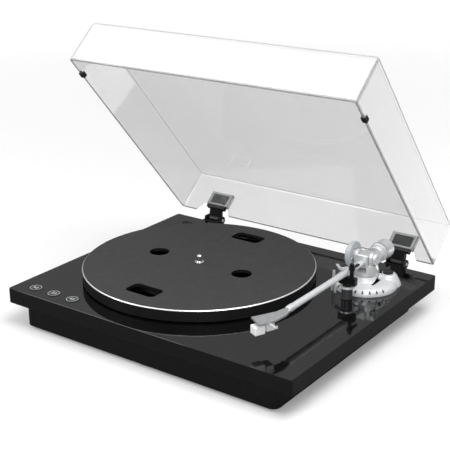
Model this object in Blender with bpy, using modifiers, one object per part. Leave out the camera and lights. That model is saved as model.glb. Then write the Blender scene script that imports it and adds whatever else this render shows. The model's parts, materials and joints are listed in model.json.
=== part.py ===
"""A belt-drive USB turntable with a straight tonearm, standing with its clear dust cover open.

Lengths are in metres, with +Z up. The deck is the plinth's top face. Most places are measured from
the deck's centre, and the heights of what stands on it are heights above it. The tonearm is modelled
lying in its rest, and the cover about its hinge line as if closed, then turned up with that line.
"""

from math import acos, atan2, cos, hypot, pi, radians, sin

import bmesh
import bpy
from mathutils import Vector

# Clearances and working values that all pieces share
SEAT_GAP = 0.0003
RUNNING_GAP = 0.0006
OVERRUN = 0.004
WELD_DISTANCE = 0.000002
TURN_MERGE = 0.000005
SHARP_ANGLE = radians(32)
BEVEL_ANGLE = radians(60)
FINE_STEPS = 80
ROUND_STEPS = 36
SMALL_STEPS = 20
TINY_STEPS = 12
CORNER_STEPS = 3
ROUND_PROFILE = 0.5

# Plinth, a lacquered board
PLINTH_WIDTH = 0.420
PLINTH_DEPTH = 0.345
PLINTH_THICKNESS = 0.0195
PLINTH_CORNER = 0.0022
PLINTH_EDGE = 0.0006

# Base box, the tray under the plinth
BOX_HEIGHT = 0.026
BOX_SIDE_INSET = 0.0225
BOX_FRONT_INSET = 0.005
BOX_REAR_INSET = 0.0205
BOX_WALL = 0.004
BOX_CORNER = 0.009
COVER_THICKNESS = 0.003
FOOT_HEIGHT = 0.004
FOOT_RADIUS = 0.015
FOOT_EDGE = 0.001
FOOT_INSET = 0.034

# Platter, with two round and two oblong finger holes
PLATTER_LEFT_MARGIN = 0.019
PLATTER_RIGHT_MARGIN = 0.101
PLATTER_Y = 0.0015
PLATTER_TOP = 0.0165
PLATTER_LIFT = 0.002
PLATTER_CHAMFER = 0.0011
PLATTER_WEB = 0.0042
PLATTER_RIM_WALL = 0.009
DRUM_SHARE = 0.61333
DRUM_WALL = 0.004
DRUM_LIFT = 0.0035
HUB_RADIUS = 0.016
ROUND_HOLE_SHARE = 0.08667
ROUND_HOLE_OFFSET_SHARE = 0.44
OBLONG_HOLE_LENGTH_SHARE = 0.29333
OBLONG_HOLE_WIDTH_SHARE = 0.16667
OBLONG_HOLE_OFFSET_SHARE = 0.73333
OBLONG_HOLE_CORNER = 0.006

# Spindle and its bearing
SPINDLE_RADIUS = 0.00355
SPINDLE_RISE = 0.0105
SPINDLE_TIP = 0.0014
SPINDLE_DEPTH = 0.0365
SPINDLE_RING_RADIUS = 0.0064
SPINDLE_RING_HEIGHT = 0.0012
BEARING_RADIUS = 0.009
BEARING_RISE = 0.0012
BEARING_FLOOR = 0.002
BEARING_FLANGE_RADIUS = 0.020
BEARING_FLANGE_THICKNESS = 0.003

# Motor, pulley and belt
PULLEY_PAST_DRUM = 0.020
PULLEY_BEARING = radians(150)
PULLEY_RADIUS = 0.006
PULLEY_FLANGE = 0.0018
PULLEY_FLANGE_THICKNESS = 0.001
PULLEY_SHAFT_RADIUS = 0.0013
PULLEY_SHAFT_DEPTH = 0.012
PULLEY_HOLE_RADIUS = 0.005
MOTOR_RADIUS = 0.018
MOTOR_HEIGHT = 0.019
MOTOR_EDGE = 0.0015
BELT_WIDTH = 0.005
BELT_THICKNESS = 0.0008
BELT_LIFT = 0.0048

# Push buttons in their blind holes
BUTTON_LEFT_INSETS = (0.0283, 0.0592, 0.0902)
BUTTON_FRONT_INSET = 0.0203
BUTTON_RADIUS = 0.0084
BUTTON_PROUD = 0.0006
BUTTON_RIM_WIDTH = 0.0011
BUTTON_DISH = 0.0004
BUTTON_SKIRT = 0.006
BUTTON_STEM_RADIUS = 0.003
BUTTON_TRAVEL = 0.0012
BUTTON_HOLE_DEPTH = 0.014

# Sockets, switch and terminal in the rear wall of the box
SOCKET_DROP = 0.0115
SOCKET_FLANGE = 0.0012
RCA_RIGHT_INSETS = (0.1235, 0.1055)
RCA_BARREL_RADIUS = 0.0041
RCA_BARREL_LENGTH = 0.009
RCA_FLANGE_RADIUS = 0.0056
RCA_SHANK_RADIUS = 0.0034
RCA_SHANK_LENGTH = 0.007
RCA_CONTACT_RADIUS = 0.0016
RCA_CONTACT_DEPTH = 0.007
USB_RIGHT_INSET = 0.1695
USB_WIDTH = 0.012
USB_TALL = 0.011
USB_LENGTH = 0.015
USB_PROUD = 0.0008
USB_WALL = 0.0017
USB_CAVITY_DEPTH = 0.009
USB_TONGUE_WIDTH = 0.0054
USB_TONGUE_TALL = 0.0031
DC_LEFT_INSET = 0.0375
DC_RADIUS = 0.0055
DC_PROUD = 0.001
DC_LENGTH = 0.012
DC_BORE_RADIUS = 0.0031
DC_BORE_DEPTH = 0.009
DC_PIN_RADIUS = 0.001
GROUND_RIGHT_INSET = 0.0855
GROUND_KNOB_RADIUS = 0.0042
GROUND_KNOB_LENGTH = 0.006
GROUND_SHAFT_RADIUS = 0.002
GROUND_SHAFT_LENGTH = 0.009
SWITCH_RIGHT_INSET = 0.1475
SWITCH_KEY_WIDTH = 0.0036
SWITCH_KEY_TALL = 0.003
SWITCH_KEY_PROUD = 0.0018
SWITCH_TRAVEL = 0.004
SWITCH_BACK_MARGIN = 0.0022
SWITCH_BACK_THICKNESS = 0.0014

# Circuit board on the bottom cover's posts
BOARD_RIGHT_INSET = 0.1355
BOARD_WIDTH = 0.116
BOARD_DEPTH = 0.056
BOARD_THICKNESS = 0.0016
BOARD_REAR_MARGIN = 0.010
BOARD_POST_HEIGHT = 0.0035
BOARD_POST_RADIUS = 0.003
BOARD_POST_INSET = 0.006
CHIP_SIZE = 0.014
CHIP_HEIGHT = 0.003
CHIP_SPACING_SHARE = 0.25

# Tonearm base, a stepped dome with a rounded hill that carries the anti-skate knob
ARM_RIGHT_INSET = 0.060
ARM_REAR_INSET = 0.0795
ARM_BASE_RADIUS = 0.0408
ARM_BASE_SKIRT = 0.0030
ARM_BASE_SHOULDER_INSET = 0.0015
ARM_BASE_SHOULDER = 0.0060
ARM_BASE_SLOPE_INSET = 0.0048
ARM_BASE_SLOPE = 0.0086
ARM_BASE_STEP_RADIUS = 0.024
ARM_BASE_STEP = 0.011
ARM_DRUM_RADIUS = 0.018
ARM_DRUM_TOP = 0.0162
ARM_DRUM_CHAMFER = 0.0006
ARM_TUBE_RADIUS_BELOW = 0.007
ARM_TUBE_DEPTH_BELOW = 0.005
ARM_NUT_WIDTH = 0.026
ARM_NUT_THICKNESS = 0.004
ARM_NUT_SIDES = 6
HILL_X = 0.022
HILL_Y = 0.019
HILL_FOOT_RADIUS = 0.017
HILL_TOP_RADIUS = 0.0098
HILL_TOP = 0.015
KNOB_RADIUS = 0.0066
KNOB_HEIGHT = 0.0022
KNOB_EDGE = 0.0006
KNOB_STEM_RADIUS = 0.002
KNOB_STEM_LENGTH = 0.006

# Cue lever, its shaft across the drum, and the lift that it works
CUE_AXIS_Y = -0.0003
CUE_AXIS_HEIGHT = 0.0137
CUE_SHAFT_RADIUS = 0.0013
CUE_SHAFT_INNER_X = 0.0140
CUE_LEVER_X = 0.0204
CUE_LEVER_RADIUS = 0.0011
CUE_LEVER_LENGTH = 0.0118
CUE_LEVER_LEAN = radians(23.6)
CUE_GRIP_RADIUS = 0.0017
CUE_GRIP_START = 0.0064
CUE_BARREL_RADIUS = 0.0021
CUE_BARREL_LENGTH = 0.0032
LIFT_INSIDE_BASE = 0.0053
LIFT_BAR_WIDTH = 0.004
LIFT_BAR_THICKNESS = 0.0022
LIFT_BAR_FROM = radians(-8)
LIFT_BAR_TO = radians(54)
LIFT_BAR_STEPS = 16
LIFT_POST_AT = radians(17)
LIFT_PLUNGER_RADIUS = 0.0022
LIFT_PLUNGER_BOTTOM = 0.0115
LIFT_CYLINDER_RADIUS = 0.0038
LIFT_CYLINDER_TOP = 0.0185
LIFT_CYLINDER_BOTTOM = 0.0035
LIFT_CYLINDER_FLOOR = 0.001
LIFT_PAD_RADIUS = 0.0024
LIFT_PAD_INNER = 0.0245
LIFT_PAD_AT = radians(32)
GUIDE_PAST_BASE = 0.0057
GUIDE_AT = radians(27.2)
GUIDE_HALF_SPREAD = 0.0038
GUIDE_THICKNESS = 0.0022
GUIDE_LEG = 0.0024
GUIDE_HEIGHT = 0.0288

# Arm rest, its cradle and its swinging clip
REST_RIGHT_OF_ARM = 0.0022
REST_PAST_BASE = 0.0087
REST_RADIUS = 0.0069
REST_POST_TOP = 0.0145
REST_COLLAR_RADIUS = 0.0092
REST_COLLAR_TOP = 0.0167
REST_STUD_RADIUS = 0.003
REST_STUD_DEPTH = 0.014
CRADLE_DISC_RADIUS = 0.0058
CRADLE_DISC_HEIGHT = 0.0042
CRADLE_LEFT = 0.0100
CRADLE_RIGHT = 0.0120
CRADLE_HALF_DEPTH = 0.0034
CRADLE_TOP = 0.0287
CRADLE_GROOVE_RADIUS = 0.0046
ROD_OFFSET_X = 0.0056
ROD_RADIUS = 0.0026
ROD_TOP = 0.0465
CLIP_BOTTOM = 0.0386
CLIP_THICKNESS = 0.0034
CLIP_RING_WALL = 0.0011
CLIP_LENGTH = 0.0165
CLIP_WIDTH = 0.0036

# Turret, the turning head that holds the arm's pitch bearings
TURRET_RADIUS = 0.0172
TURRET_BAND = 0.0026
TURRET_WAIST_RADIUS = 0.0162
TURRET_WAIST = 0.0246
TURRET_NECK_RADIUS = 0.0148
TURRET_NECK = 0.0300
PITCH_HEIGHT = 0.038
CHEEK_OUTER = 0.0124
CHEEK_RADIUS = 0.0082
SLOT_FLOOR = 0.0218
YAW_SHAFT_RADIUS = 0.0042
YAW_SHAFT_BOTTOM = 0.0235
YAW_SHAFT_SOCKET = 0.003
PIVOT_SCREW_RADIUS = 0.002
PIVOT_SCREW_HEAD_RADIUS = 0.0034
PIVOT_SCREW_HEAD = 0.0016
DISC_RADIUS = 0.0163
DISC_INNER_X = 0.0150
DISC_OUTER_X = 0.0220
DISC_HUB_RADIUS = 0.007
DISC_CHAMFER = 0.0014
DISC_BORE_RADIUS = 0.0046
CAP_RADIUS = 0.0076
CAP_OUTER_X = 0.0172
CAP_CHAMFER = 0.0012

# Pitching part of the arm, measured from the pitch axis
BLOCK_HALF_WIDTH = 0.0078
BLOCK_HALF_LENGTH = 0.011
BLOCK_BELOW = 0.0115
BLOCK_ABOVE = 0.0055
BLOCK_EDGE = 0.0014
TUBE_DROP = 0.005
TUBE_RADIUS = 0.0039
TUBE_WALL = 0.001
TUBE_END = 0.180
TUBE_START = 0.004
COLLAR_RADIUS = 0.0051
COLLAR_LENGTH = 0.010
COLLAR_SETBACK = 0.0005
HEADSHELL_LENGTH = 0.052
HEADSHELL_WIDTH = 0.0216
HEADSHELL_THICKNESS = 0.0022
HEADSHELL_TOP = 0.034
HEADSHELL_START = 0.181
HEADSHELL_PLUG_RADIUS = 0.0025
HEADSHELL_PLUG_LENGTH = 0.012
HEADSHELL_OUTLINE_SHARES = (
    (-0.21, 0.0),
    (-0.31, 0.24),
    (-0.99, 0.78),
    (-0.13, 1.0),
    (0.25, 0.66),
    (0.34, 0.28),
    (0.21, 0.0),
)
OFFSET_ANGLE = radians(23.5)
CARTRIDGE_X = -0.0128
CARTRIDGE_Y = -0.231
CARTRIDGE_PLATE_WIDTH = 0.0125
CARTRIDGE_PLATE_LENGTH = 0.0162
CARTRIDGE_PLATE_SETBACK = 0.009
CARTRIDGE_PLATE_THICKNESS = 0.0022
CARTRIDGE_WIDTH = 0.0142
CARTRIDGE_LENGTH = 0.0100
CARTRIDGE_HEIGHT = 0.0080
STYLUS_WIDTH = 0.0115
STYLUS_LENGTH = 0.0137
STYLUS_BOTTOM = 0.018
STYLUS_CHAMFER = 0.0012
STYLUS_TIP_SETBACK = 0.004
STYLUS_TIP_RADIUS = 0.0008
STYLUS_TIP_DROP = 0.001
FINGER_LIFT_LENGTH = 0.0205
FINGER_LIFT_WIDTH = 0.003
FINGER_LIFT_THICKNESS = 0.0009
FINGER_LIFT_X = 0.003
FINGER_LIFT_Y = 0.0160
FINGER_LIFT_CURL = 0.0032
FINGER_LIFT_CURL_INSET = 0.000375
FINGER_LIFT_LAP_SHARE = 0.25
REAR_SHAFT_RADIUS = 0.0039
REAR_SHAFT_END = 0.051
DIAL_FRONT = 0.0236
DIAL_LENGTH = 0.0062
DIAL_FRONT_RADIUS = 0.0092
DIAL_REAR_RADIUS = 0.0110
WEIGHT_LENGTH = 0.024
WEIGHT_RADIUS = 0.0123
WEIGHT_FRONT_RADIUS = 0.0106
WEIGHT_FRONT_BAND = 0.0034
WEIGHT_EDGE = 0.0008
WEIGHT_RECESS_RADIUS = 0.0098
WEIGHT_RECESS_DEPTH = 0.016

# Dust cover and its two hinges, measured from the hinge line with the cover closed
COVER_SIDE_INSET = 0.005
COVER_SHORT_OF_PLINTH = 0.003
COVER_HEIGHT = 0.062
COVER_WALL = 0.003
COVER_CORNER = 0.004
COVER_CORNER_STEPS = 2
COVER_OPEN = radians(49)
COVER_REAR_SETBACK = 0.0135
COVER_RIM_LIFT = 0.0018
HINGE_BEHIND = 0.012
HINGE_INSET = 0.0555
NOTCH_HALF_RIM = 0.030
NOTCH_HALF_TOP = 0.021
NOTCH_HEIGHT = 0.0145
LEAF_HALF_WIDTH = 0.016
LEAF_THICKNESS = 0.0025
LEAF_LOW = 0.0132
LEAF_HIGH = 0.0335
POCKET_WALL = 0.002
FLANGE_HALF_WIDTH = 0.0155
FLANGE_LOW = 0.009
FLANGE_HIGH = 0.0138
FLANGE_FRONT = 0.0150
FLANGE_REAR = 0.0085
NECK_HALF_WIDTH = 0.0096
NECK_THICKNESS = 0.007
NECK_TOP_Y = -0.0112
NECK_TOP_Z = 0.0132
KNUCKLE_HALF_WIDTH = 0.010
KNUCKLE_RADIUS = 0.0055
PIN_RADIUS = 0.002
PIN_PROUD = 0.0008
CHEEK_PLATE_THICKNESS = 0.0025
BRACKET_HALF_WIDTH = 0.0145
BRACKET_THICKNESS = 0.0035
BRACKET_TOP = 0.0006
BRACKET_BOTTOM = 0.018
BRACKET_EAR_RADIUS = 0.006
BUMPER_FROM_FRONT = 0.032
BUMPER_LENGTH = 0.008
BUMPER_DROP = 0.0014
BUMPER_LIP = 0.0042
BUMPER_WALL = 0.0013

# Places that follow from the sizes above
DECK_HEIGHT = FOOT_HEIGHT + BOX_HEIGHT + PLINTH_THICKNESS
BOX_WIDTH = PLINTH_WIDTH - 2 * BOX_SIDE_INSET
BOX_DEPTH = PLINTH_DEPTH - BOX_FRONT_INSET - BOX_REAR_INSET
BOX_CENTRE_Y = (BOX_FRONT_INSET - BOX_REAR_INSET) / 2
BOX_REAR_Y = PLINTH_DEPTH / 2 - BOX_REAR_INSET
BOX_BOTTOM = -PLINTH_THICKNESS - BOX_HEIGHT
BOX_FLOOR = BOX_BOTTOM + COVER_THICKNESS
SOCKET_Z = -PLINTH_THICKNESS - SOCKET_DROP
PLATTER_RADIUS = (PLINTH_WIDTH - PLATTER_LEFT_MARGIN - PLATTER_RIGHT_MARGIN) / 2
PLATTER_X = PLATTER_LEFT_MARGIN + PLATTER_RADIUS - PLINTH_WIDTH / 2
DRUM_RADIUS = DRUM_SHARE * PLATTER_RADIUS
ROUND_HOLE_RADIUS = ROUND_HOLE_SHARE * PLATTER_RADIUS
ROUND_HOLE_OFFSET = ROUND_HOLE_OFFSET_SHARE * PLATTER_RADIUS
OBLONG_HOLE_LENGTH = OBLONG_HOLE_LENGTH_SHARE * PLATTER_RADIUS
OBLONG_HOLE_WIDTH = OBLONG_HOLE_WIDTH_SHARE * PLATTER_RADIUS
OBLONG_HOLE_OFFSET = OBLONG_HOLE_OFFSET_SHARE * PLATTER_RADIUS
PULLEY_DISTANCE = DRUM_RADIUS + PULLEY_PAST_DRUM
BUTTON_XS = tuple(inset - PLINTH_WIDTH / 2 for inset in BUTTON_LEFT_INSETS)
BUTTON_Y = BUTTON_FRONT_INSET - PLINTH_DEPTH / 2
RCA_XS = tuple(BOX_WIDTH / 2 - inset for inset in RCA_RIGHT_INSETS)
USB_X = BOX_WIDTH / 2 - USB_RIGHT_INSET
DC_X = DC_LEFT_INSET - BOX_WIDTH / 2
GROUND_X = BOX_WIDTH / 2 - GROUND_RIGHT_INSET
SWITCH_X = BOX_WIDTH / 2 - SWITCH_RIGHT_INSET
BOARD_X = BOX_WIDTH / 2 - BOARD_RIGHT_INSET
ARM_X = PLINTH_WIDTH / 2 - ARM_RIGHT_INSET
ARM_Y = PLINTH_DEPTH / 2 - ARM_REAR_INSET
ARM_BASE_SHOULDER_RADIUS = ARM_BASE_RADIUS - ARM_BASE_SHOULDER_INSET
ARM_BASE_SLOPE_RADIUS = ARM_BASE_RADIUS - ARM_BASE_SLOPE_INSET
LIFT_RADIUS = ARM_BASE_RADIUS - LIFT_INSIDE_BASE
GUIDE_RADIUS = ARM_BASE_RADIUS + GUIDE_PAST_BASE
REST_X = ARM_X + REST_RIGHT_OF_ARM
REST_Y = ARM_Y - ARM_BASE_RADIUS - REST_PAST_BASE
COVER_WIDTH = PLINTH_WIDTH - 2 * COVER_SIDE_INSET
COVER_DEPTH = PLINTH_DEPTH - COVER_SHORT_OF_PLINTH
BUMPER_SETBACK = COVER_DEPTH - BUMPER_FROM_FRONT
HINGE_X = COVER_WIDTH / 2 - HINGE_INSET
HINGE_Y = PLINTH_DEPTH / 2 + HINGE_BEHIND
COVER_REACH = (
    COVER_CORNER
    - (COVER_REAR_SETBACK + COVER_CORNER) * cos(COVER_OPEN)
    + (COVER_RIM_LIFT + COVER_HEIGHT - COVER_CORNER) * sin(COVER_OPEN)
)
DECK_Y = -(HINGE_Y + COVER_REACH - PLINTH_DEPTH / 2) / 2
PLATTER_WEB_BOTTOM = PLATTER_TOP - PLATTER_WEB
SPINDLE_BORE = SPINDLE_RADIUS + SEAT_GAP
TUBE_BOTTOM = PITCH_HEIGHT - TUBE_DROP - TUBE_RADIUS
LIFT_BAR_TOP = TUBE_BOTTOM - SEAT_GAP
SLOT_HALF_WIDTH = BLOCK_HALF_WIDTH + RUNNING_GAP
COVER_REAR = -COVER_REAR_SETBACK
LEAF_FRONT = COVER_REAR + 2 * SEAT_GAP
LEAF_REAR = LEAF_FRONT + LEAF_THICKNESS
WEIGHT_FRONT = DIAL_FRONT + DIAL_LENGTH + SEAT_GAP

UPRIGHT = (0.0, 0.0, 0.0)
ALONG_X = (0.0, pi / 2, 0.0)
ALONG_Y = (-pi / 2, 0.0, 0.0)
FACING_X = (pi / 2, 0.0, pi / 2)
FACING_Y = (pi / 2, 0.0, 0.0)


def clear_scene():
    for obj in list(bpy.data.objects):
        bpy.data.objects.remove(obj, do_unlink=True)


def new_collection(name):
    collection = bpy.data.collections.new(name)
    bpy.context.scene.collection.children.link(collection)
    return collection


clear_scene()
TURNTABLE = new_collection("usb_turntable")
CUTTERS = new_collection("cutters")


def material(name, red, green, blue, roughness, metallic=0.0, alpha=1.0):
    made = bpy.data.materials.new(name)
    made.use_nodes = True
    shader = made.node_tree.nodes["Principled BSDF"]
    shader.inputs["Base Color"].default_value = (red, green, blue, 1.0)
    shader.inputs["Roughness"].default_value = roughness
    shader.inputs["Metallic"].default_value = metallic
    shader.inputs["Alpha"].default_value = alpha
    made.diffuse_color = (red, green, blue, alpha)
    return made


GLOSS_BLACK = material("gloss_black_lacquer", 0.008, 0.008, 0.009, 0.06)
BLACK_PLASTIC = material("black_plastic", 0.012, 0.012, 0.012, 0.4)
MATTE_BLACK = material("matte_black_enamel", 0.045, 0.045, 0.047, 0.75)
RUBBER = material("black_rubber", 0.015, 0.015, 0.015, 0.85)
SILVER_PAINT = material("silver_satin_metal", 0.72, 0.74, 0.75, 0.3, 0.8)
CHROME = material("chromed_steel", 0.8, 0.8, 0.8, 0.08, 1.0)
STEEL = material("plain_steel", 0.5, 0.5, 0.5, 0.35, 1.0)
BRASS = material("brass", 0.7, 0.5, 0.22, 0.3, 1.0)
WHITE_PLASTIC = material("white_plastic", 0.8, 0.8, 0.8, 0.35)
GREY_PLASTIC = material("silver_grey_plastic", 0.45, 0.46, 0.47, 0.35)
GREEN_BOARD = material("green_circuit_board", 0.02, 0.16, 0.06, 0.5)
CLEAR_ACRYLIC = material("smoked_clear_acrylic", 0.62, 0.62, 0.62, 0.03, 0.0, 0.3)


def frame(name, parent=None, location=UPRIGHT, rotation=UPRIGHT):
    """An empty that carries the pieces measured from it."""
    obj = bpy.data.objects.new(name, None)
    TURNTABLE.objects.link(obj)
    obj.parent = parent
    obj.location = location
    obj.rotation_euler = rotation
    return obj


def place(name, mesh, carrier, finish, location=UPRIGHT, rotation=UPRIGHT):
    """Links a mesh as a sub-part, or as a hidden cutter or joined shape where it has no finish."""
    obj = bpy.data.objects.new(name, mesh)
    obj.parent = carrier
    obj.location = location
    obj.rotation_euler = rotation
    if finish is None:
        CUTTERS.objects.link(obj)
        obj.hide_render = True
        obj.display_type = "WIRE"
    else:
        TURNTABLE.objects.link(obj)
        mesh.materials.append(finish)
    return obj


def mesh_from(bm, name):
    mesh = bpy.data.meshes.new(name)
    bm.to_mesh(mesh)
    bm.free()
    return mesh


def block(name, carrier, low, high, finish=None, edge=0.0):
    """A box between two corners. Its edges are rounded by edge."""
    size = [b - a for a, b in zip(low, high)]
    centre = [(a + b) / 2 for a, b in zip(low, high)]
    bm = bmesh.new()
    bmesh.ops.create_cube(bm, size=1.0)
    bmesh.ops.scale(bm, vec=size, verts=bm.verts)
    obj = place(name, mesh_from(bm, name), carrier, finish, centre)
    if edge:
        soften(obj, edge)
    return obj


def soften(obj, width):
    """Rounds the sharp edges."""
    bevel = obj.modifiers.new("soften", "BEVEL")
    bevel.width = width
    bevel.segments = 1
    bevel.limit_method = "ANGLE"
    bevel.angle_limit = BEVEL_ANGLE


def round_bar(name, carrier, start, end, radius, finish=None, end_radius=None, steps=SMALL_STEPS):
    """A cylinder or cone from one point to another."""
    run = Vector(end) - Vector(start)
    middle = (Vector(end) + Vector(start)) / 2
    bm = bmesh.new()
    bmesh.ops.create_cone(
        bm,
        cap_ends=True,
        segments=steps,
        radius1=radius,
        radius2=radius if end_radius is None else end_radius,
        depth=run.length,
    )
    turn = run.to_track_quat("Z", "Y").to_euler()
    return place(name, mesh_from(bm, name), carrier, finish, middle, turn)


def turned(name, carrier, profile, finish=None, steps=SMALL_STEPS, location=UPRIGHT, rotation=UPRIGHT):
    """A profile of (radius, height) points turned round. It runs down its outer side.

    A profile that starts and ends on the axis is left open there, and any other is closed.
    """
    on_axis = profile[0][0] == 0 and profile[-1][0] == 0
    points = [(radius, 0.0, height) for radius, height in profile]
    edges = [(i, i + 1) for i in range(len(points) - 1)]
    if not on_axis:
        edges.append((len(points) - 1, 0))
    mesh = bpy.data.meshes.new(name)
    mesh.from_pydata(points, edges, [])
    obj = place(name, mesh, carrier, finish, location, rotation)
    turn = obj.modifiers.new("turn", "SCREW")
    turn.axis = "Z"
    turn.angle = 2 * pi
    turn.steps = steps
    turn.render_steps = steps
    turn.use_merge_vertices = True
    turn.merge_threshold = TURN_MERGE
    turn.use_smooth_shade = True
    return obj


def tube_profile(outer, inner, low, high):
    return [(inner, high), (outer, high), (outer, low), (inner, low)]


def mesh_of_curve(curve_object):
    """The curve's closed mesh, with the caps welded to the sides."""
    graph = bpy.context.evaluated_depsgraph_get()
    mesh = bpy.data.meshes.new_from_object(curve_object.evaluated_get(graph))
    bm = bmesh.new()
    bm.from_mesh(mesh)
    bmesh.ops.remove_doubles(bm, verts=bm.verts, dist=WELD_DISTANCE)
    bmesh.ops.recalc_face_normals(bm, faces=bm.faces)
    bm.to_mesh(mesh)
    bm.free()
    return mesh


def plate(name, carrier, outlines, low, high, finish=None, rotation=UPRIGHT, location=UPRIGHT):
    """Flat outlines, the first round the others, given a thickness from low to high.

    The thickness runs along the local Z, and rotation turns it along another axis.
    """
    curve = bpy.data.curves.new(name, "CURVE")
    curve.dimensions = "2D"
    curve.fill_mode = "BOTH"
    curve.extrude = (high - low) / 2
    for outline in outlines:
        spline = curve.splines.new("POLY")
        spline.points.add(len(outline) - 1)
        for point, (x, y) in zip(spline.points, outline):
            point.co = (x, y, 0.0, 1.0)
        spline.use_cyclic_u = True
    flat = bpy.data.objects.new(name + "_outline", curve)
    CUTTERS.objects.link(flat)
    mesh = mesh_of_curve(flat)
    bpy.data.objects.remove(flat, do_unlink=True)
    mesh.materials.clear()
    obj = place(name, mesh, carrier, finish, location, rotation)
    middle = Vector((0.0, 0.0, (low + high) / 2))
    middle.rotate(obj.rotation_euler)
    obj.location = Vector(location) + middle
    return obj


def arc(x, y, radius, start, end, steps):
    angles = [start + (end - start) * i / steps for i in range(steps + 1)]
    return [(x + radius * cos(a), y + radius * sin(a)) for a in angles]


def rounded_rectangle(width, depth, corner, x=0.0, y=0.0, steps=CORNER_STEPS):
    across = width / 2 - corner
    along = depth / 2 - corner
    points = []
    for quarter, (side_x, side_y) in enumerate(((1, 1), (-1, 1), (-1, -1), (1, -1))):
        start = quarter * pi / 2
        points += arc(x + side_x * across, y + side_y * along, corner, start, start + pi / 2, steps)
    return points


def combine(obj, other, operation):
    boolean = obj.modifiers.new(other.name, "BOOLEAN")
    boolean.operation = operation
    boolean.solver = "EXACT"
    boolean.object = other


def cut(obj, *cutters):
    for cutter in cutters:
        combine(obj, cutter, "DIFFERENCE")


def join(obj, *others):
    for other in others:
        combine(obj, other, "UNION")


def drill(obj, name, start, end, radius, steps=SMALL_STEPS):
    cut(obj, round_bar(name, obj.parent, start, end, radius, steps=steps))


def polar(radius, angle):
    """A place round the arm's pivot: angle 0 is towards the front, and it grows towards the platter."""
    return -radius * sin(angle), -radius * cos(angle)


# Frames: each moving body's own frame has its origin on its joint's axis
DECK = frame("deck", None, (0.0, DECK_Y, DECK_HEIGHT))
PLATTER_FRAME = frame("platter_axis", DECK, (PLATTER_X, PLATTER_Y, 0.0))
PULLEY_FRAME = frame(
    "pulley_axis",
    PLATTER_FRAME,
    (PULLEY_DISTANCE * cos(PULLEY_BEARING), PULLEY_DISTANCE * sin(PULLEY_BEARING), 0.0),
)
ARM_PLACE = frame("arm_place", DECK, (ARM_X, ARM_Y, 0.0))
YAW_FRAME = frame("arm_yaw_axis", DECK, (ARM_X, ARM_Y, 0.0))
PITCH_FRAME = frame("arm_pitch_axis", YAW_FRAME, (0.0, 0.0, PITCH_HEIGHT))
CARTRIDGE_FRAME = frame(
    "cartridge_place",
    PITCH_FRAME,
    (CARTRIDGE_X, CARTRIDGE_Y, 0.0),
    (0.0, 0.0, -OFFSET_ANGLE),
)
HINGE_LINE = frame("hinge_line", DECK, (0.0, HINGE_Y, 0.0))
COVER_FRAME = frame("cover_hinge_axis", DECK, (0.0, HINGE_Y, 0.0), (-COVER_OPEN, 0.0, 0.0))
CUE_FRAME = frame("cue_lever_axis", ARM_PLACE, (0.0, CUE_AXIS_Y, CUE_AXIS_HEIGHT))
KNOB_FRAME = frame("anti_skate_axis", ARM_PLACE, (HILL_X, HILL_Y, HILL_TOP))
REST_PLACE = frame("arm_rest_place", DECK, (REST_X, REST_Y, 0.0))
CLIP_FRAME = frame("clip_axis", REST_PLACE, (ROD_OFFSET_X, 0.0, CLIP_BOTTOM))


def make_plinth():
    outline = rounded_rectangle(PLINTH_WIDTH, PLINTH_DEPTH, PLINTH_CORNER)
    plinth = plate("top_plinth", DECK, [outline], -PLINTH_THICKNESS, 0.0, GLOSS_BLACK)
    soften(plinth, PLINTH_EDGE)
    below = -PLINTH_THICKNESS - OVERRUN
    pulley = PULLEY_FRAME.location
    pulley_x = PLATTER_X + pulley.x
    pulley_y = PLATTER_Y + pulley.y
    through = (
        ("bearing_hole", PLATTER_X, PLATTER_Y, BEARING_RADIUS + SEAT_GAP),
        ("pulley_hole", pulley_x, pulley_y, PULLEY_HOLE_RADIUS),
        ("arm_hole", ARM_X, ARM_Y, ARM_TUBE_RADIUS_BELOW + SEAT_GAP),
        ("rest_hole", REST_X, REST_Y, REST_STUD_RADIUS + SEAT_GAP),
    )
    for name, x, y, radius in through:
        drill(plinth, name, (x, y, below), (x, y, OVERRUN), radius)
    for number, x in enumerate(BUTTON_XS):
        drill(
            plinth,
            "button_hole_%d" % number,
            (x, BUTTON_Y, -BUTTON_HOLE_DEPTH),
            (x, BUTTON_Y, OVERRUN),
            BUTTON_RADIUS + SEAT_GAP,
            ROUND_STEPS,
        )


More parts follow.
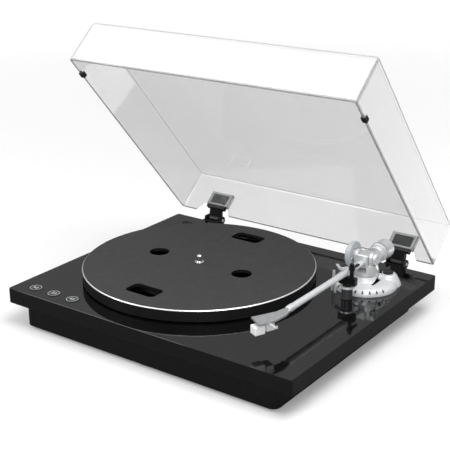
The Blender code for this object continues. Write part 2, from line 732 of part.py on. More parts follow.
def make_base_box():
    outer = rounded_rectangle(BOX_WIDTH, BOX_DEPTH, BOX_CORNER, 0.0, BOX_CENTRE_Y)
    inner = rounded_rectangle(
        BOX_WIDTH - 2 * BOX_WALL,
        BOX_DEPTH - 2 * BOX_WALL,
        BOX_CORNER - BOX_WALL,
        0.0,
        BOX_CENTRE_Y,
    )
    box = plate(
        "base_box", DECK, [outer, inner], BOX_BOTTOM, -PLINTH_THICKNESS - SEAT_GAP, BLACK_PLASTIC
    )
    front = BOX_REAR_Y - BOX_WALL - OVERRUN
    rear = BOX_REAR_Y + OVERRUN
    holes = [("rca_hole_%d" % i, x, RCA_SHANK_RADIUS) for i, x in enumerate(RCA_XS)]
    holes.append(("dc_hole", DC_X, DC_RADIUS))
    holes.append(("ground_hole", GROUND_X, GROUND_SHAFT_RADIUS))
    for name, x, radius in holes:
        drill(box, name, (x, front, SOCKET_Z), (x, rear, SOCKET_Z), radius + SEAT_GAP)
    half_wide = USB_WIDTH / 2 + SEAT_GAP
    half_tall = USB_TALL / 2 + SEAT_GAP
    cut(
        box,
        block(
            "usb_hole",
            DECK,
            (USB_X - half_wide, front, SOCKET_Z - half_tall),
            (USB_X + half_wide, rear, SOCKET_Z + half_tall),
        ),
    )
    half_tall = SWITCH_KEY_TALL / 2 + SEAT_GAP
    half_key = SWITCH_KEY_WIDTH / 2 + SEAT_GAP
    cut(
        box,
        block(
            "switch_slot",
            DECK,
            (SWITCH_X - half_key, front, SOCKET_Z - half_tall),
            (SWITCH_X + half_key + SWITCH_TRAVEL, rear, SOCKET_Z + half_tall),
        ),
    )


def make_bottom_cover():
    outline = rounded_rectangle(
        BOX_WIDTH - 2 * BOX_WALL - 2 * SEAT_GAP,
        BOX_DEPTH - 2 * BOX_WALL - 2 * SEAT_GAP,
        BOX_CORNER - BOX_WALL,
        0.0,
        BOX_CENTRE_Y,
    )
    cover = plate("bottom_cover", DECK, [outline], BOX_BOTTOM, BOX_FLOOR, BLACK_PLASTIC)
    across = BOARD_WIDTH / 2 - BOARD_POST_INSET
    along = BOARD_DEPTH / 2 - BOARD_POST_INSET
    board_y = BOX_REAR_Y - BOX_WALL - BOARD_REAR_MARGIN - BOARD_DEPTH / 2
    middle = (BOX_BOTTOM + BOX_FLOOR) / 2
    for number, (side_x, side_y) in enumerate(((1, 1), (-1, 1), (-1, -1), (1, -1))):
        x = BOARD_X + side_x * across
        y = board_y + side_y * along
        post = round_bar(
            "board_post_%d" % number,
            DECK,
            (x, y, middle),
            (x, y, BOX_FLOOR + BOARD_POST_HEIGHT),
            BOARD_POST_RADIUS,
            steps=TINY_STEPS,
        )
        join(cover, post)
    low = BOX_FLOOR + BOARD_POST_HEIGHT + SEAT_GAP
    top = low + BOARD_THICKNESS
    board = block(
        "circuit_board",
        DECK,
        (BOARD_X - BOARD_WIDTH / 2, board_y - BOARD_DEPTH / 2, low),
        (BOARD_X + BOARD_WIDTH / 2, board_y + BOARD_DEPTH / 2, top),
        GREEN_BOARD,
    )
    for number, side in enumerate((-1, 0, 1)):
        x = BOARD_X + side * CHIP_SPACING_SHARE * BOARD_WIDTH
        chip = block(
            "chip_%d" % number,
            DECK,
            (x - CHIP_SIZE / 2, board_y - CHIP_SIZE / 2, low + BOARD_THICKNESS / 2),
            (x + CHIP_SIZE / 2, board_y + CHIP_SIZE / 2, top + CHIP_HEIGHT),
        )
        join(board, chip)


def make_feet():
    profile = [
        (0.0, FOOT_HEIGHT - SEAT_GAP),
        (FOOT_RADIUS, FOOT_HEIGHT - SEAT_GAP),
        (FOOT_RADIUS, FOOT_EDGE),
        (FOOT_RADIUS - FOOT_EDGE, 0.0),
        (0.0, 0.0),
    ]
    across = BOX_WIDTH / 2 - FOOT_INSET
    along = BOX_DEPTH / 2 - FOOT_INSET
    for end, side_y in (("front", -1), ("rear", 1)):
        for side, side_x in (("left", -1), ("right", 1)):
            place_here = (side_x * across, BOX_CENTRE_Y + side_y * along, -DECK_HEIGHT)
            turned("foot_%s_%s" % (end, side), DECK, profile, RUBBER, location=place_here)


def make_platter():
    edge = PLATTER_RADIUS
    inner = edge - PLATTER_RIM_WALL
    profile = [
        (SPINDLE_BORE, PLATTER_TOP),
        (edge - PLATTER_CHAMFER, PLATTER_TOP),
        (edge, PLATTER_TOP - PLATTER_CHAMFER),
        (edge, PLATTER_LIFT),
        (inner, PLATTER_LIFT),
        (inner, PLATTER_WEB_BOTTOM),
        (DRUM_RADIUS, PLATTER_WEB_BOTTOM),
        (DRUM_RADIUS, DRUM_LIFT),
        (DRUM_RADIUS - DRUM_WALL, DRUM_LIFT),
        (DRUM_RADIUS - DRUM_WALL, PLATTER_WEB_BOTTOM),
        (HUB_RADIUS, PLATTER_WEB_BOTTOM),
        (HUB_RADIUS, PLATTER_LIFT),
        (SPINDLE_BORE, PLATTER_LIFT),
    ]
    platter = turned("platter", PLATTER_FRAME, profile, MATTE_BLACK, FINE_STEPS)
    low = PLATTER_WEB_BOTTOM - OVERRUN
    high = PLATTER_TOP + OVERRUN
    for side in (-1, 1):
        x = side * ROUND_HOLE_OFFSET
        drill(
            platter,
            "round_hole_%d" % side,
            (x, 0.0, low),
            (x, 0.0, high),
            ROUND_HOLE_RADIUS,
            ROUND_STEPS,
        )
        outline = rounded_rectangle(
            OBLONG_HOLE_LENGTH,
            OBLONG_HOLE_WIDTH,
            OBLONG_HOLE_CORNER,
            0.0,
            side * OBLONG_HOLE_OFFSET,
        )
        cut(platter, plate("oblong_hole_%d" % side, PLATTER_FRAME, [outline], low, high))


def make_spindle():
    top = PLATTER_TOP + SPINDLE_RISE
    ring_bottom = PLATTER_TOP + SEAT_GAP
    profile = [
        (0.0, top),
        (SPINDLE_RADIUS - SPINDLE_TIP, top),
        (SPINDLE_RADIUS, top - SPINDLE_TIP),
        (SPINDLE_RADIUS, ring_bottom + SPINDLE_RING_HEIGHT),
        (SPINDLE_RING_RADIUS, ring_bottom + SPINDLE_RING_HEIGHT),
        (SPINDLE_RING_RADIUS, ring_bottom),
        (SPINDLE_RADIUS, ring_bottom),
        (SPINDLE_RADIUS, -SPINDLE_DEPTH),
        (0.0, -SPINDLE_DEPTH),
    ]
    turned("spindle", PLATTER_FRAME, profile, CHROME)
    floor = -SPINDLE_DEPTH - SEAT_GAP
    flange_top = -PLINTH_THICKNESS - SEAT_GAP
    profile = [
        (0.0, BEARING_RISE),
        (BEARING_RADIUS, BEARING_RISE),
        (BEARING_RADIUS, flange_top),
        (BEARING_FLANGE_RADIUS, flange_top),
        (BEARING_FLANGE_RADIUS, flange_top - BEARING_FLANGE_THICKNESS),
        (BEARING_RADIUS, flange_top - BEARING_FLANGE_THICKNESS),
        (BEARING_RADIUS, floor - BEARING_FLOOR),
        (0.0, floor - BEARING_FLOOR),
    ]
    housing = turned("bearing_housing", PLATTER_FRAME, profile, BRASS)
    drill(housing, "bearing_bore", (0.0, 0.0, floor), (0.0, 0.0, OVERRUN), SPINDLE_BORE)


def belt_outline(grow):
    """The line round drum and pulley, grow outside their surfaces, joined by the two tangents."""
    drum = DRUM_RADIUS + grow
    pulley = PULLEY_RADIUS + grow
    lean = acos((drum - pulley) / PULLEY_DISTANCE)
    centre_x = PULLEY_DISTANCE * cos(PULLEY_BEARING)
    centre_y = PULLEY_DISTANCE * sin(PULLEY_BEARING)
    start = PULLEY_BEARING + lean
    end = PULLEY_BEARING + 2 * pi - lean
    points = arc(0.0, 0.0, drum, start, end, FINE_STEPS)
    points += arc(
        centre_x, centre_y, pulley, PULLEY_BEARING - lean, PULLEY_BEARING + lean, TINY_STEPS
    )
    return points


def make_drive():
    belt_top = BELT_LIFT + BELT_WIDTH
    outer = belt_outline(SEAT_GAP + BELT_THICKNESS)
    inner = belt_outline(SEAT_GAP)
    plate("drive_belt", PLATTER_FRAME, [outer, inner], BELT_LIFT, belt_top, RUBBER)
    rim = PULLEY_RADIUS + PULLEY_FLANGE
    groove_low = BELT_LIFT - RUNNING_GAP
    groove_high = belt_top + RUNNING_GAP
    motor_top = -PLINTH_THICKNESS - SEAT_GAP
    shaft_end = motor_top - PULLEY_SHAFT_DEPTH
    profile = [
        (0.0, groove_high + PULLEY_FLANGE_THICKNESS),
        (rim, groove_high + PULLEY_FLANGE_THICKNESS),
        (rim, groove_high),
        (PULLEY_RADIUS, groove_high),
        (PULLEY_RADIUS, groove_low),
        (rim, groove_low),
        (rim, groove_low - PULLEY_FLANGE_THICKNESS),
        (PULLEY_SHAFT_RADIUS, groove_low - PULLEY_FLANGE_THICKNESS),
        (PULLEY_SHAFT_RADIUS, shaft_end),
        (0.0, shaft_end),
    ]
    turned("motor_pulley", PULLEY_FRAME, profile, BRASS, SMALL_STEPS)
    bottom = motor_top - MOTOR_HEIGHT
    can = [
        (0.0, motor_top),
        (MOTOR_RADIUS - MOTOR_EDGE, motor_top),
        (MOTOR_RADIUS, motor_top - MOTOR_EDGE),
        (MOTOR_RADIUS, bottom),
        (0.0, bottom),
    ]
    motor = turned("motor", PULLEY_FRAME, can, STEEL, ROUND_STEPS)
    drill(
        motor,
        "motor_bore",
        (0.0, 0.0, shaft_end - SEAT_GAP),
        (0.0, 0.0, motor_top + OVERRUN),
        PULLEY_SHAFT_RADIUS + SEAT_GAP,
        TINY_STEPS,
    )


def make_buttons():
    dish = BUTTON_RADIUS - BUTTON_RIM_WIDTH
    stem_bottom = -BUTTON_HOLE_DEPTH + BUTTON_TRAVEL + SEAT_GAP
    profile = [
        (0.0, BUTTON_PROUD - BUTTON_DISH),
        (dish - BUTTON_DISH, BUTTON_PROUD - BUTTON_DISH),
        (dish, BUTTON_PROUD),
        (BUTTON_RADIUS, BUTTON_PROUD),
        (BUTTON_RADIUS, -BUTTON_SKIRT),
        (BUTTON_STEM_RADIUS, -BUTTON_SKIRT),
        (BUTTON_STEM_RADIUS, stem_bottom),
        (0.0, stem_bottom),
    ]
    names = ("start_stop_button", "speed_33_button", "speed_45_button")
    for name, x in zip(names, BUTTON_XS):
        axis = frame(name + "_axis", DECK, (x, BUTTON_Y, 0.0))
        turned(name, axis, profile, BLACK_PLASTIC, ROUND_STEPS)


def make_rca_sockets():
    """A barrel with its contact hole behind a flange, on a shank through the wall."""
    flange_front = SEAT_GAP
    flange_rear = SEAT_GAP + SOCKET_FLANGE
    profile = [
        (0.0, flange_rear + RCA_BARREL_LENGTH),
        (RCA_BARREL_RADIUS, flange_rear + RCA_BARREL_LENGTH),
        (RCA_BARREL_RADIUS, flange_rear),
        (RCA_FLANGE_RADIUS, flange_rear),
        (RCA_FLANGE_RADIUS, flange_front),
        (RCA_SHANK_RADIUS, flange_front),
        (RCA_SHANK_RADIUS, -BOX_WALL - RCA_SHANK_LENGTH),
        (0.0, -BOX_WALL - RCA_SHANK_LENGTH),
    ]
    for name, x in zip(("rca_socket_left", "rca_socket_right"), RCA_XS):
        here = frame(name + "_place", DECK, (x, BOX_REAR_Y, SOCKET_Z))
        socket = turned(name, here, profile, CHROME, rotation=ALONG_Y)
        end = flange_rear + RCA_BARREL_LENGTH
        drill(
            socket,
            name + "_contact",
            (0.0, end - RCA_CONTACT_DEPTH, 0.0),
            (0.0, end + OVERRUN, 0.0),
            RCA_CONTACT_RADIUS,
            TINY_STEPS,
        )


def make_usb_socket():
    here = frame("usb_place", DECK, (USB_X, BOX_REAR_Y, SOCKET_Z))
    wide = USB_WIDTH / 2
    tall = USB_TALL / 2
    shell = block(
        "usb_socket",
        here,
        (-wide, USB_PROUD - USB_LENGTH, -tall),
        (wide, USB_PROUD, tall),
        STEEL,
    )
    floor = USB_PROUD - USB_CAVITY_DEPTH
    cavity = block(
        "usb_cavity",
        here,
        (USB_WALL - wide, floor, USB_WALL - tall),
        (wide - USB_WALL, USB_PROUD + OVERRUN, tall - USB_WALL),
    )
    tongue = block(
        "usb_tongue",
        here,
        (-USB_TONGUE_WIDTH / 2, floor - USB_WALL, -USB_TONGUE_TALL / 2),
        (USB_TONGUE_WIDTH / 2, 0.0, USB_TONGUE_TALL / 2),
    )
    cut(shell, cavity)
    join(shell, tongue)


def make_dc_socket():
    here = frame("dc_place", DECK, (DC_X, BOX_REAR_Y, SOCKET_Z))
    body = round_bar(
        "dc_socket", here, (0.0, DC_PROUD - DC_LENGTH, 0.0), (0.0, DC_PROUD, 0.0), DC_RADIUS, BLACK_PLASTIC
    )
    floor = DC_PROUD - DC_BORE_DEPTH
    drill(body, "dc_bore", (0.0, floor, 0.0), (0.0, DC_PROUD + OVERRUN, 0.0), DC_BORE_RADIUS)
    pin = round_bar(
        "dc_pin", here, (0.0, floor - DC_PROUD, 0.0), (0.0, 0.0, 0.0), DC_PIN_RADIUS, steps=TINY_STEPS
    )
    join(body, pin)


def make_ground_terminal():
    axis = frame("ground_axis", DECK, (GROUND_X, BOX_REAR_Y, SOCKET_Z))
    knob_front = SEAT_GAP
    profile = [
        (0.0, knob_front + GROUND_KNOB_LENGTH),
        (GROUND_KNOB_RADIUS, knob_front + GROUND_KNOB_LENGTH),
        (GROUND_KNOB_RADIUS, knob_front),
        (GROUND_SHAFT_RADIUS, knob_front),
        (GROUND_SHAFT_RADIUS, -GROUND_SHAFT_LENGTH),
        (0.0, -GROUND_SHAFT_LENGTH),
    ]
    turned("ground_terminal", axis, profile, CHROME, TINY_STEPS, rotation=ALONG_Y)


def make_line_switch():
    here = frame("switch_place", DECK, (SWITCH_X, BOX_REAR_Y, SOCKET_Z))
    inner_face = -BOX_WALL - SEAT_GAP
    back_half = SWITCH_KEY_WIDTH / 2 + SWITCH_BACK_MARGIN
    back_tall = SWITCH_KEY_TALL / 2 + SWITCH_BACK_MARGIN
    slider = block(
        "phono_line_switch",
        here,
        (-back_half - SWITCH_TRAVEL, inner_face - SWITCH_BACK_THICKNESS, -back_tall),
        (back_half, inner_face, back_tall),
        BLACK_PLASTIC,
    )
    key = block(
        "switch_key",
        here,
        (-SWITCH_KEY_WIDTH / 2, inner_face - SWITCH_BACK_THICKNESS / 2, -SWITCH_KEY_TALL / 2),
        (SWITCH_KEY_WIDTH / 2, SWITCH_KEY_PROUD, SWITCH_KEY_TALL / 2),
    )
    join(slider, key)


def make_arm_base():
    bore = YAW_SHAFT_RADIUS + SEAT_GAP
    foot = -PLINTH_THICKNESS - ARM_TUBE_DEPTH_BELOW
    profile = [
        (bore, ARM_DRUM_TOP),
        (ARM_DRUM_RADIUS - ARM_DRUM_CHAMFER, ARM_DRUM_TOP),
        (ARM_DRUM_RADIUS, ARM_DRUM_TOP - ARM_DRUM_CHAMFER),
        (ARM_DRUM_RADIUS, ARM_BASE_STEP),
        (ARM_BASE_STEP_RADIUS, ARM_BASE_STEP),
        (ARM_BASE_SLOPE_RADIUS, ARM_BASE_SLOPE),
        (ARM_BASE_SHOULDER_RADIUS, ARM_BASE_SHOULDER),
        (ARM_BASE_RADIUS, ARM_BASE_SKIRT),
        (ARM_BASE_RADIUS, SEAT_GAP),
        (ARM_TUBE_RADIUS_BELOW, SEAT_GAP),
        (ARM_TUBE_RADIUS_BELOW, foot),
        (bore, foot),
    ]
    base = turned("tonearm_base", ARM_PLACE, profile, SILVER_PAINT, ROUND_STEPS)
    hill = round_bar(
        "hill",
        ARM_PLACE,
        (HILL_X, HILL_Y, SEAT_GAP),
        (HILL_X, HILL_Y, HILL_TOP),
        HILL_FOOT_RADIUS,
        end_radius=HILL_TOP_RADIUS,
        steps=ROUND_STEPS,
    )
    join(base, hill)
    drill(
        base,
        "knob_hole",
        (HILL_X, HILL_Y, HILL_TOP - KNOB_STEM_LENGTH - SEAT_GAP),
        (HILL_X, HILL_Y, HILL_TOP + OVERRUN),
        KNOB_STEM_RADIUS + SEAT_GAP,
        TINY_STEPS,
    )
    drill(
        base,
        "cue_hole",
        (CUE_SHAFT_INNER_X - SEAT_GAP, CUE_AXIS_Y, CUE_AXIS_HEIGHT),
        (ARM_DRUM_RADIUS + OVERRUN, CUE_AXIS_Y, CUE_AXIS_HEIGHT),
        CUE_SHAFT_RADIUS + SEAT_GAP,
        TINY_STEPS,
    )
    x, y = polar(LIFT_RADIUS, LIFT_POST_AT)
    drill(
        base,
        "lift_hole",
        (x, y, LIFT_CYLINDER_BOTTOM - SEAT_GAP),
        (x, y, ARM_DRUM_TOP + OVERRUN),
        LIFT_CYLINDER_RADIUS + SEAT_GAP,
    )


def make_arm_base_nut():
    top = -PLINTH_THICKNESS - SEAT_GAP
    nut = round_bar(
        "tonearm_base_nut",
        ARM_PLACE,
        (0.0, 0.0, top - ARM_NUT_THICKNESS),
        (0.0, 0.0, top),
        ARM_NUT_WIDTH / 2,
        STEEL,
        steps=ARM_NUT_SIDES,
    )
    drill(
        nut,
        "nut_bore",
        (0.0, 0.0, top - ARM_NUT_THICKNESS - OVERRUN),
        (0.0, 0.0, top + OVERRUN),
        ARM_TUBE_RADIUS_BELOW + SEAT_GAP,
    )


def make_anti_skate_knob():
    profile = [
        (0.0, SEAT_GAP + KNOB_HEIGHT),
        (KNOB_RADIUS - KNOB_EDGE, SEAT_GAP + KNOB_HEIGHT),
        (KNOB_RADIUS, SEAT_GAP + KNOB_HEIGHT - KNOB_EDGE),
        (KNOB_RADIUS, SEAT_GAP),
        (KNOB_STEM_RADIUS, SEAT_GAP),
        (KNOB_STEM_RADIUS, -KNOB_STEM_LENGTH),
        (0.0, -KNOB_STEM_LENGTH),
    ]
    turned("anti_skate_knob", KNOB_FRAME, profile, BLACK_PLASTIC)


def make_cue_lever():
    """A rod with a grip that leans back beside the drum, on a shaft that enters the drum along X."""
    back = sin(CUE_LEVER_LEAN)
    up = cos(CUE_LEVER_LEAN)
    barrel_inner = CUE_LEVER_X - CUE_BARREL_LENGTH / 2
    lever = round_bar(
        "cue_lever",
        CUE_FRAME,
        (CUE_LEVER_X, 0.0, 0.0),
        (CUE_LEVER_X, CUE_LEVER_LENGTH * back, CUE_LEVER_LENGTH * up),
        CUE_LEVER_RADIUS,
        BLACK_PLASTIC,
        steps=TINY_STEPS,
    )
    grip = round_bar(
        "cue_grip",
        CUE_FRAME,
        (CUE_LEVER_X, CUE_GRIP_START * back, CUE_GRIP_START * up),
        (CUE_LEVER_X, CUE_LEVER_LENGTH * back, CUE_LEVER_LENGTH * up),
        CUE_GRIP_RADIUS,
        steps=TINY_STEPS,
    )
    barrel = round_bar(
        "cue_barrel",
        CUE_FRAME,
        (barrel_inner, 0.0, 0.0),
        (barrel_inner + CUE_BARREL_LENGTH, 0.0, 0.0),
        CUE_BARREL_RADIUS,
        steps=TINY_STEPS,
    )
    shaft = round_bar(
        "cue_shaft",
        CUE_FRAME,
        (CUE_SHAFT_INNER_X, 0.0, 0.0),
        (CUE_LEVER_X, 0.0, 0.0),
        CUE_SHAFT_RADIUS,
        steps=TINY_STEPS,
    )
    join(lever, grip, barrel, shaft)


def make_lift():
    x, y = polar(LIFT_RADIUS, LIFT_POST_AT)
    cylinder = round_bar(
        "lift_cylinder",
        ARM_PLACE,
        (x, y, LIFT_CYLINDER_BOTTOM),
        (x, y, LIFT_CYLINDER_TOP),
        LIFT_CYLINDER_RADIUS,
        CHROME,
    )
    drill(
        cylinder,
        "lift_bore",
        (x, y, LIFT_CYLINDER_BOTTOM + LIFT_CYLINDER_FLOOR),
        (x, y, LIFT_CYLINDER_TOP + OVERRUN),
        LIFT_PLUNGER_RADIUS + SEAT_GAP,
        TINY_STEPS,
    )
    outer = LIFT_RADIUS + LIFT_BAR_WIDTH / 2
    inner = LIFT_RADIUS - LIFT_BAR_WIDTH / 2
    run = (LIFT_BAR_TO - LIFT_BAR_FROM) / LIFT_BAR_STEPS
    angles = [LIFT_BAR_FROM + run * i for i in range(LIFT_BAR_STEPS + 1)]
    outline = [polar(outer, a) for a in angles] + [polar(inner, a) for a in reversed(angles)]
    low = LIFT_BAR_TOP - LIFT_BAR_THICKNESS
    bar = plate("lift_platform", ARM_PLACE, [outline], low, LIFT_BAR_TOP, GREY_PLASTIC)
    plunger = round_bar(
        "lift_plunger",
        ARM_PLACE,
        (x, y, LIFT_PLUNGER_BOTTOM),
        (x, y, low + LIFT_BAR_THICKNESS / 2),
        LIFT_PLUNGER_RADIUS,
        steps=TINY_STEPS,
    )
    start_x, start_y = polar(LIFT_PAD_INNER, LIFT_PAD_AT)
    end_x, end_y = polar(LIFT_RADIUS, LIFT_PAD_AT)
    pad_z = LIFT_BAR_TOP - LIFT_PAD_RADIUS
    pad = round_bar(
        "lift_pad",
        ARM_PLACE,
        (start_x, start_y, pad_z),
        (end_x, end_y, pad_z),
        LIFT_PAD_RADIUS,
        steps=TINY_STEPS,
    )
    join(bar, plunger, pad)


def make_lift_guide():
    """A small stand of two legs that meet at the top, across the line from the arm's pivot."""
    x, y = polar(GUIDE_RADIUS, GUIDE_AT)
    here = frame("guide_place", ARM_PLACE, (x, y, 0.0), (0.0, 0.0, -GUIDE_AT))
    spread = GUIDE_HALF_SPREAD
    half_leg = GUIDE_LEG / 2
    crotch = GUIDE_HEIGHT - 2 * GUIDE_LEG
    outline = [
        (-spread - half_leg, SEAT_GAP),
        (-spread + half_leg, SEAT_GAP),
        (0.0, crotch),
        (spread - half_leg, SEAT_GAP),
        (spread + half_leg, SEAT_GAP),
        (half_leg, GUIDE_HEIGHT),
        (-half_leg, GUIDE_HEIGHT),
    ]
    half = GUIDE_THICKNESS / 2
    plate("lift_guide", here, [outline], -half, half, CHROME, rotation=FACING_Y)


def make_arm_rest():
    collar_low = REST_POST_TOP
    profile = [
        (0.0, REST_COLLAR_TOP),
        (REST_COLLAR_RADIUS, REST_COLLAR_TOP),
        (REST_COLLAR_RADIUS, collar_low),
        (REST_RADIUS, collar_low),
        (REST_RADIUS, SEAT_GAP),
        (REST_STUD_RADIUS, SEAT_GAP),
        (REST_STUD_RADIUS, -REST_STUD_DEPTH),
        (0.0, -REST_STUD_DEPTH),
    ]
    turned("arm_rest_post", REST_PLACE, profile, STEEL, ROUND_STEPS)
    disc_low = REST_COLLAR_TOP + SEAT_GAP
    cradle = round_bar(
        "arm_rest_cradle",
        REST_PLACE,
        (0.0, 0.0, disc_low),
        (0.0, 0.0, disc_low + CRADLE_DISC_HEIGHT),
        CRADLE_DISC_RADIUS,
        BLACK_PLASTIC,
    )
    saddle = block(
        "saddle",
        REST_PLACE,
        (-CRADLE_LEFT, -CRADLE_HALF_DEPTH, disc_low + CRADLE_DISC_HEIGHT / 2),
        (CRADLE_RIGHT, CRADLE_HALF_DEPTH, CRADLE_TOP),
    )
    rod = round_bar(
        "rest_rod",
        REST_PLACE,
        (ROD_OFFSET_X, 0.0, disc_low + CRADLE_DISC_HEIGHT),
        (ROD_OFFSET_X, 0.0, ROD_TOP),
        ROD_RADIUS,
    )
    join(cradle, saddle, rod)
    groove_x = ARM_X - REST_X
    groove_z = PITCH_HEIGHT - TUBE_DROP
    end = CRADLE_HALF_DEPTH + OVERRUN
    drill(
        cradle,
        "tube_groove",
        (groove_x, -end, groove_z),
        (groove_x, end, groove_z),
        CRADLE_GROOVE_RADIUS,
    )


def make_arm_rest_clip():
    bore = ROD_RADIUS + SEAT_GAP
    ring = turned(
        "arm_rest_clip",
        CLIP_FRAME,
        tube_profile(bore + CLIP_RING_WALL, bore, 0.0, CLIP_THICKNESS),
        BLACK_PLASTIC,
    )
    finger = block(
        "clip_finger",
        CLIP_FRAME,
        (-CLIP_WIDTH / 2, bore + CLIP_RING_WALL / 2, CLIP_RING_WALL / 2),
        (CLIP_WIDTH / 2, CLIP_LENGTH, CLIP_THICKNESS - CLIP_RING_WALL / 2),
    )
    join(ring, finger)


def make_turret():
    bottom = ARM_DRUM_TOP + RUNNING_GAP
    profile = [
        (0.0, TURRET_NECK),
        (TURRET_NECK_RADIUS, TURRET_NECK),
        (TURRET_WAIST_RADIUS, TURRET_WAIST),
        (TURRET_RADIUS, bottom + TURRET_BAND),
        (TURRET_RADIUS, bottom),
        (0.0, bottom),
    ]
    turret = turned("arm_turret", YAW_FRAME, profile, CHROME, ROUND_STEPS)
    outline = [(-CHEEK_RADIUS, bottom + TURRET_BAND), (CHEEK_RADIUS, bottom + TURRET_BAND)]
    outline += arc(0.0, PITCH_HEIGHT, CHEEK_RADIUS, 0.0, pi, TINY_STEPS)
    inner = SLOT_HALF_WIDTH - RUNNING_GAP
    for name, low, high in (("right", inner, CHEEK_OUTER), ("left", -CHEEK_OUTER, -inner)):
        cheek = plate(name + "_cheek", YAW_FRAME, [outline], low, high, rotation=FACING_X)
        join(turret, cheek)
    reach = TURRET_RADIUS + OVERRUN
    slot = block(
        "turret_slot",
        YAW_FRAME,
        (-SLOT_HALF_WIDTH, -reach, SLOT_FLOOR),
        (SLOT_HALF_WIDTH, reach, PITCH_HEIGHT + CHEEK_RADIUS + OVERRUN),
    )
    cut(turret, slot)
    drill(
        turret,
        "disc_recess",
        (SEAT_GAP - DISC_INNER_X, 0.0, PITCH_HEIGHT),
        (-reach, 0.0, PITCH_HEIGHT),
        DISC_RADIUS + SEAT_GAP,
        ROUND_STEPS,
    )
    out = CHEEK_OUTER + OVERRUN
    drill(
        turret,
        "pivot_screw_holes",
        (-out, 0.0, PITCH_HEIGHT),
        (out, 0.0, PITCH_HEIGHT),
        PIVOT_SCREW_RADIUS + SEAT_GAP,
        TINY_STEPS,
    )
    drill(
        turret,
        "yaw_shaft_socket",
        (0.0, 0.0, bottom - OVERRUN),
        (0.0, 0.0, bottom + YAW_SHAFT_SOCKET + SEAT_GAP),
        YAW_SHAFT_RADIUS + SEAT_GAP,
    )
    round_bar(
        "yaw_shaft",
        YAW_FRAME,
        (0.0, 0.0, -YAW_SHAFT_BOTTOM),
        (0.0, 0.0, bottom + YAW_SHAFT_SOCKET),
        YAW_SHAFT_RADIUS,
        STEEL,
    )


def make_pivot_screws():
    tip = BLOCK_HALF_WIDTH + SEAT_GAP
    head = CHEEK_OUTER + SEAT_GAP
    profile = [
        (0.0, head + PIVOT_SCREW_HEAD),
        (PIVOT_SCREW_HEAD_RADIUS, head + PIVOT_SCREW_HEAD),
        (PIVOT_SCREW_HEAD_RADIUS, head),
        (PIVOT_SCREW_RADIUS, head),
        (PIVOT_SCREW_RADIUS, tip),
        (0.0, tip),
    ]
    right_turn = ALONG_X
    left_turn = (0.0, -pi / 2, 0.0)
    height = (0.0, 0.0, PITCH_HEIGHT)
    for name, turn in (("pivot_screw_right", right_turn), ("pivot_screw_left", left_turn)):
        turned(name, YAW_FRAME, profile, STEEL, TINY_STEPS, height, turn)


def make_bearing_covers():
    """The large disc on the left cheek and the small cap on the right one."""
    start = CHEEK_OUTER + SEAT_GAP
    hole = PIVOT_SCREW_HEAD_RADIUS + SEAT_GAP
    height = (0.0, 0.0, PITCH_HEIGHT)
    profile = [
        (DISC_BORE_RADIUS, DISC_OUTER_X),
        (DISC_RADIUS - DISC_CHAMFER, DISC_OUTER_X),
        (DISC_RADIUS, DISC_OUTER_X - DISC_CHAMFER),
        (DISC_RADIUS, DISC_INNER_X),
        (DISC_HUB_RADIUS, DISC_INNER_X),
        (DISC_HUB_RADIUS, start),
        (DISC_BORE_RADIUS, start),
    ]
    turned(
        "bearing_disc_left",
        YAW_FRAME,
        profile,
        GREY_PLASTIC,
        ROUND_STEPS,
        height,
        (0.0, -pi / 2, 0.0),
    )
    profile = [
        (hole, CAP_OUTER_X),
        (CAP_RADIUS - CAP_CHAMFER, CAP_OUTER_X),
        (CAP_RADIUS, CAP_OUTER_X - CAP_CHAMFER),
        (CAP_RADIUS, start),
        (hole, start),
    ]
    turned("bearing_cap_right", YAW_FRAME, profile, CHROME, SMALL_STEPS, height, ALONG_X)


def make_pivot_block():
    body = block(
        "pivot_block",
        PITCH_FRAME,
        (-BLOCK_HALF_WIDTH, -BLOCK_HALF_LENGTH, -BLOCK_BELOW),
        (BLOCK_HALF_WIDTH, BLOCK_HALF_LENGTH, BLOCK_ABOVE),
        CHROME,
        edge=BLOCK_EDGE,
    )
    out = BLOCK_HALF_LENGTH + OVERRUN
    drill(
        body,
        "tube_socket",
        (0.0, -out, -TUBE_DROP),
        (0.0, -TUBE_START + SEAT_GAP, -TUBE_DROP),
        TUBE_RADIUS + SEAT_GAP,
    )
    drill(
        body,
        "rear_shaft_socket",
        (0.0, TUBE_START - SEAT_GAP, -TUBE_DROP),
        (0.0, out, -TUBE_DROP),
        REAR_SHAFT_RADIUS + SEAT_GAP,
    )


def make_arm_tube():
    height = (0.0, 0.0, -TUBE_DROP)
    inner = TUBE_RADIUS - TUBE_WALL
    turned(
        "arm_tube",
        PITCH_FRAME,
        tube_profile(TUBE_RADIUS, inner, -TUBE_END, -TUBE_START),
        SILVER_PAINT,
        location=height,
        rotation=ALONG_Y,
    )
    bore = TUBE_RADIUS + SEAT_GAP
    front = -TUBE_END + COLLAR_SETBACK
    turned(
        "headshell_collar",
        PITCH_FRAME,
        tube_profile(COLLAR_RADIUS, bore, front, front + COLLAR_LENGTH),
        CHROME,
        location=height,
        rotation=ALONG_Y,
    )


def make_headshell():
    start = -HEADSHELL_START
    top = HEADSHELL_TOP - PITCH_HEIGHT
    outline = [
        (across * HEADSHELL_WIDTH, start - along * HEADSHELL_LENGTH)
        for across, along in HEADSHELL_OUTLINE_SHARES
    ]
    shell = plate(
        "headshell", PITCH_FRAME, [outline], top - HEADSHELL_THICKNESS, top, SILVER_PAINT
    )
    plug = round_bar(
        "headshell_plug",
        PITCH_FRAME,
        (0.0, start - HEADSHELL_PLUG_RADIUS, -TUBE_DROP),
        (0.0, start + HEADSHELL_PLUG_LENGTH, -TUBE_DROP),
        HEADSHELL_PLUG_RADIUS,
        steps=TINY_STEPS,
    )
    join(shell, plug)


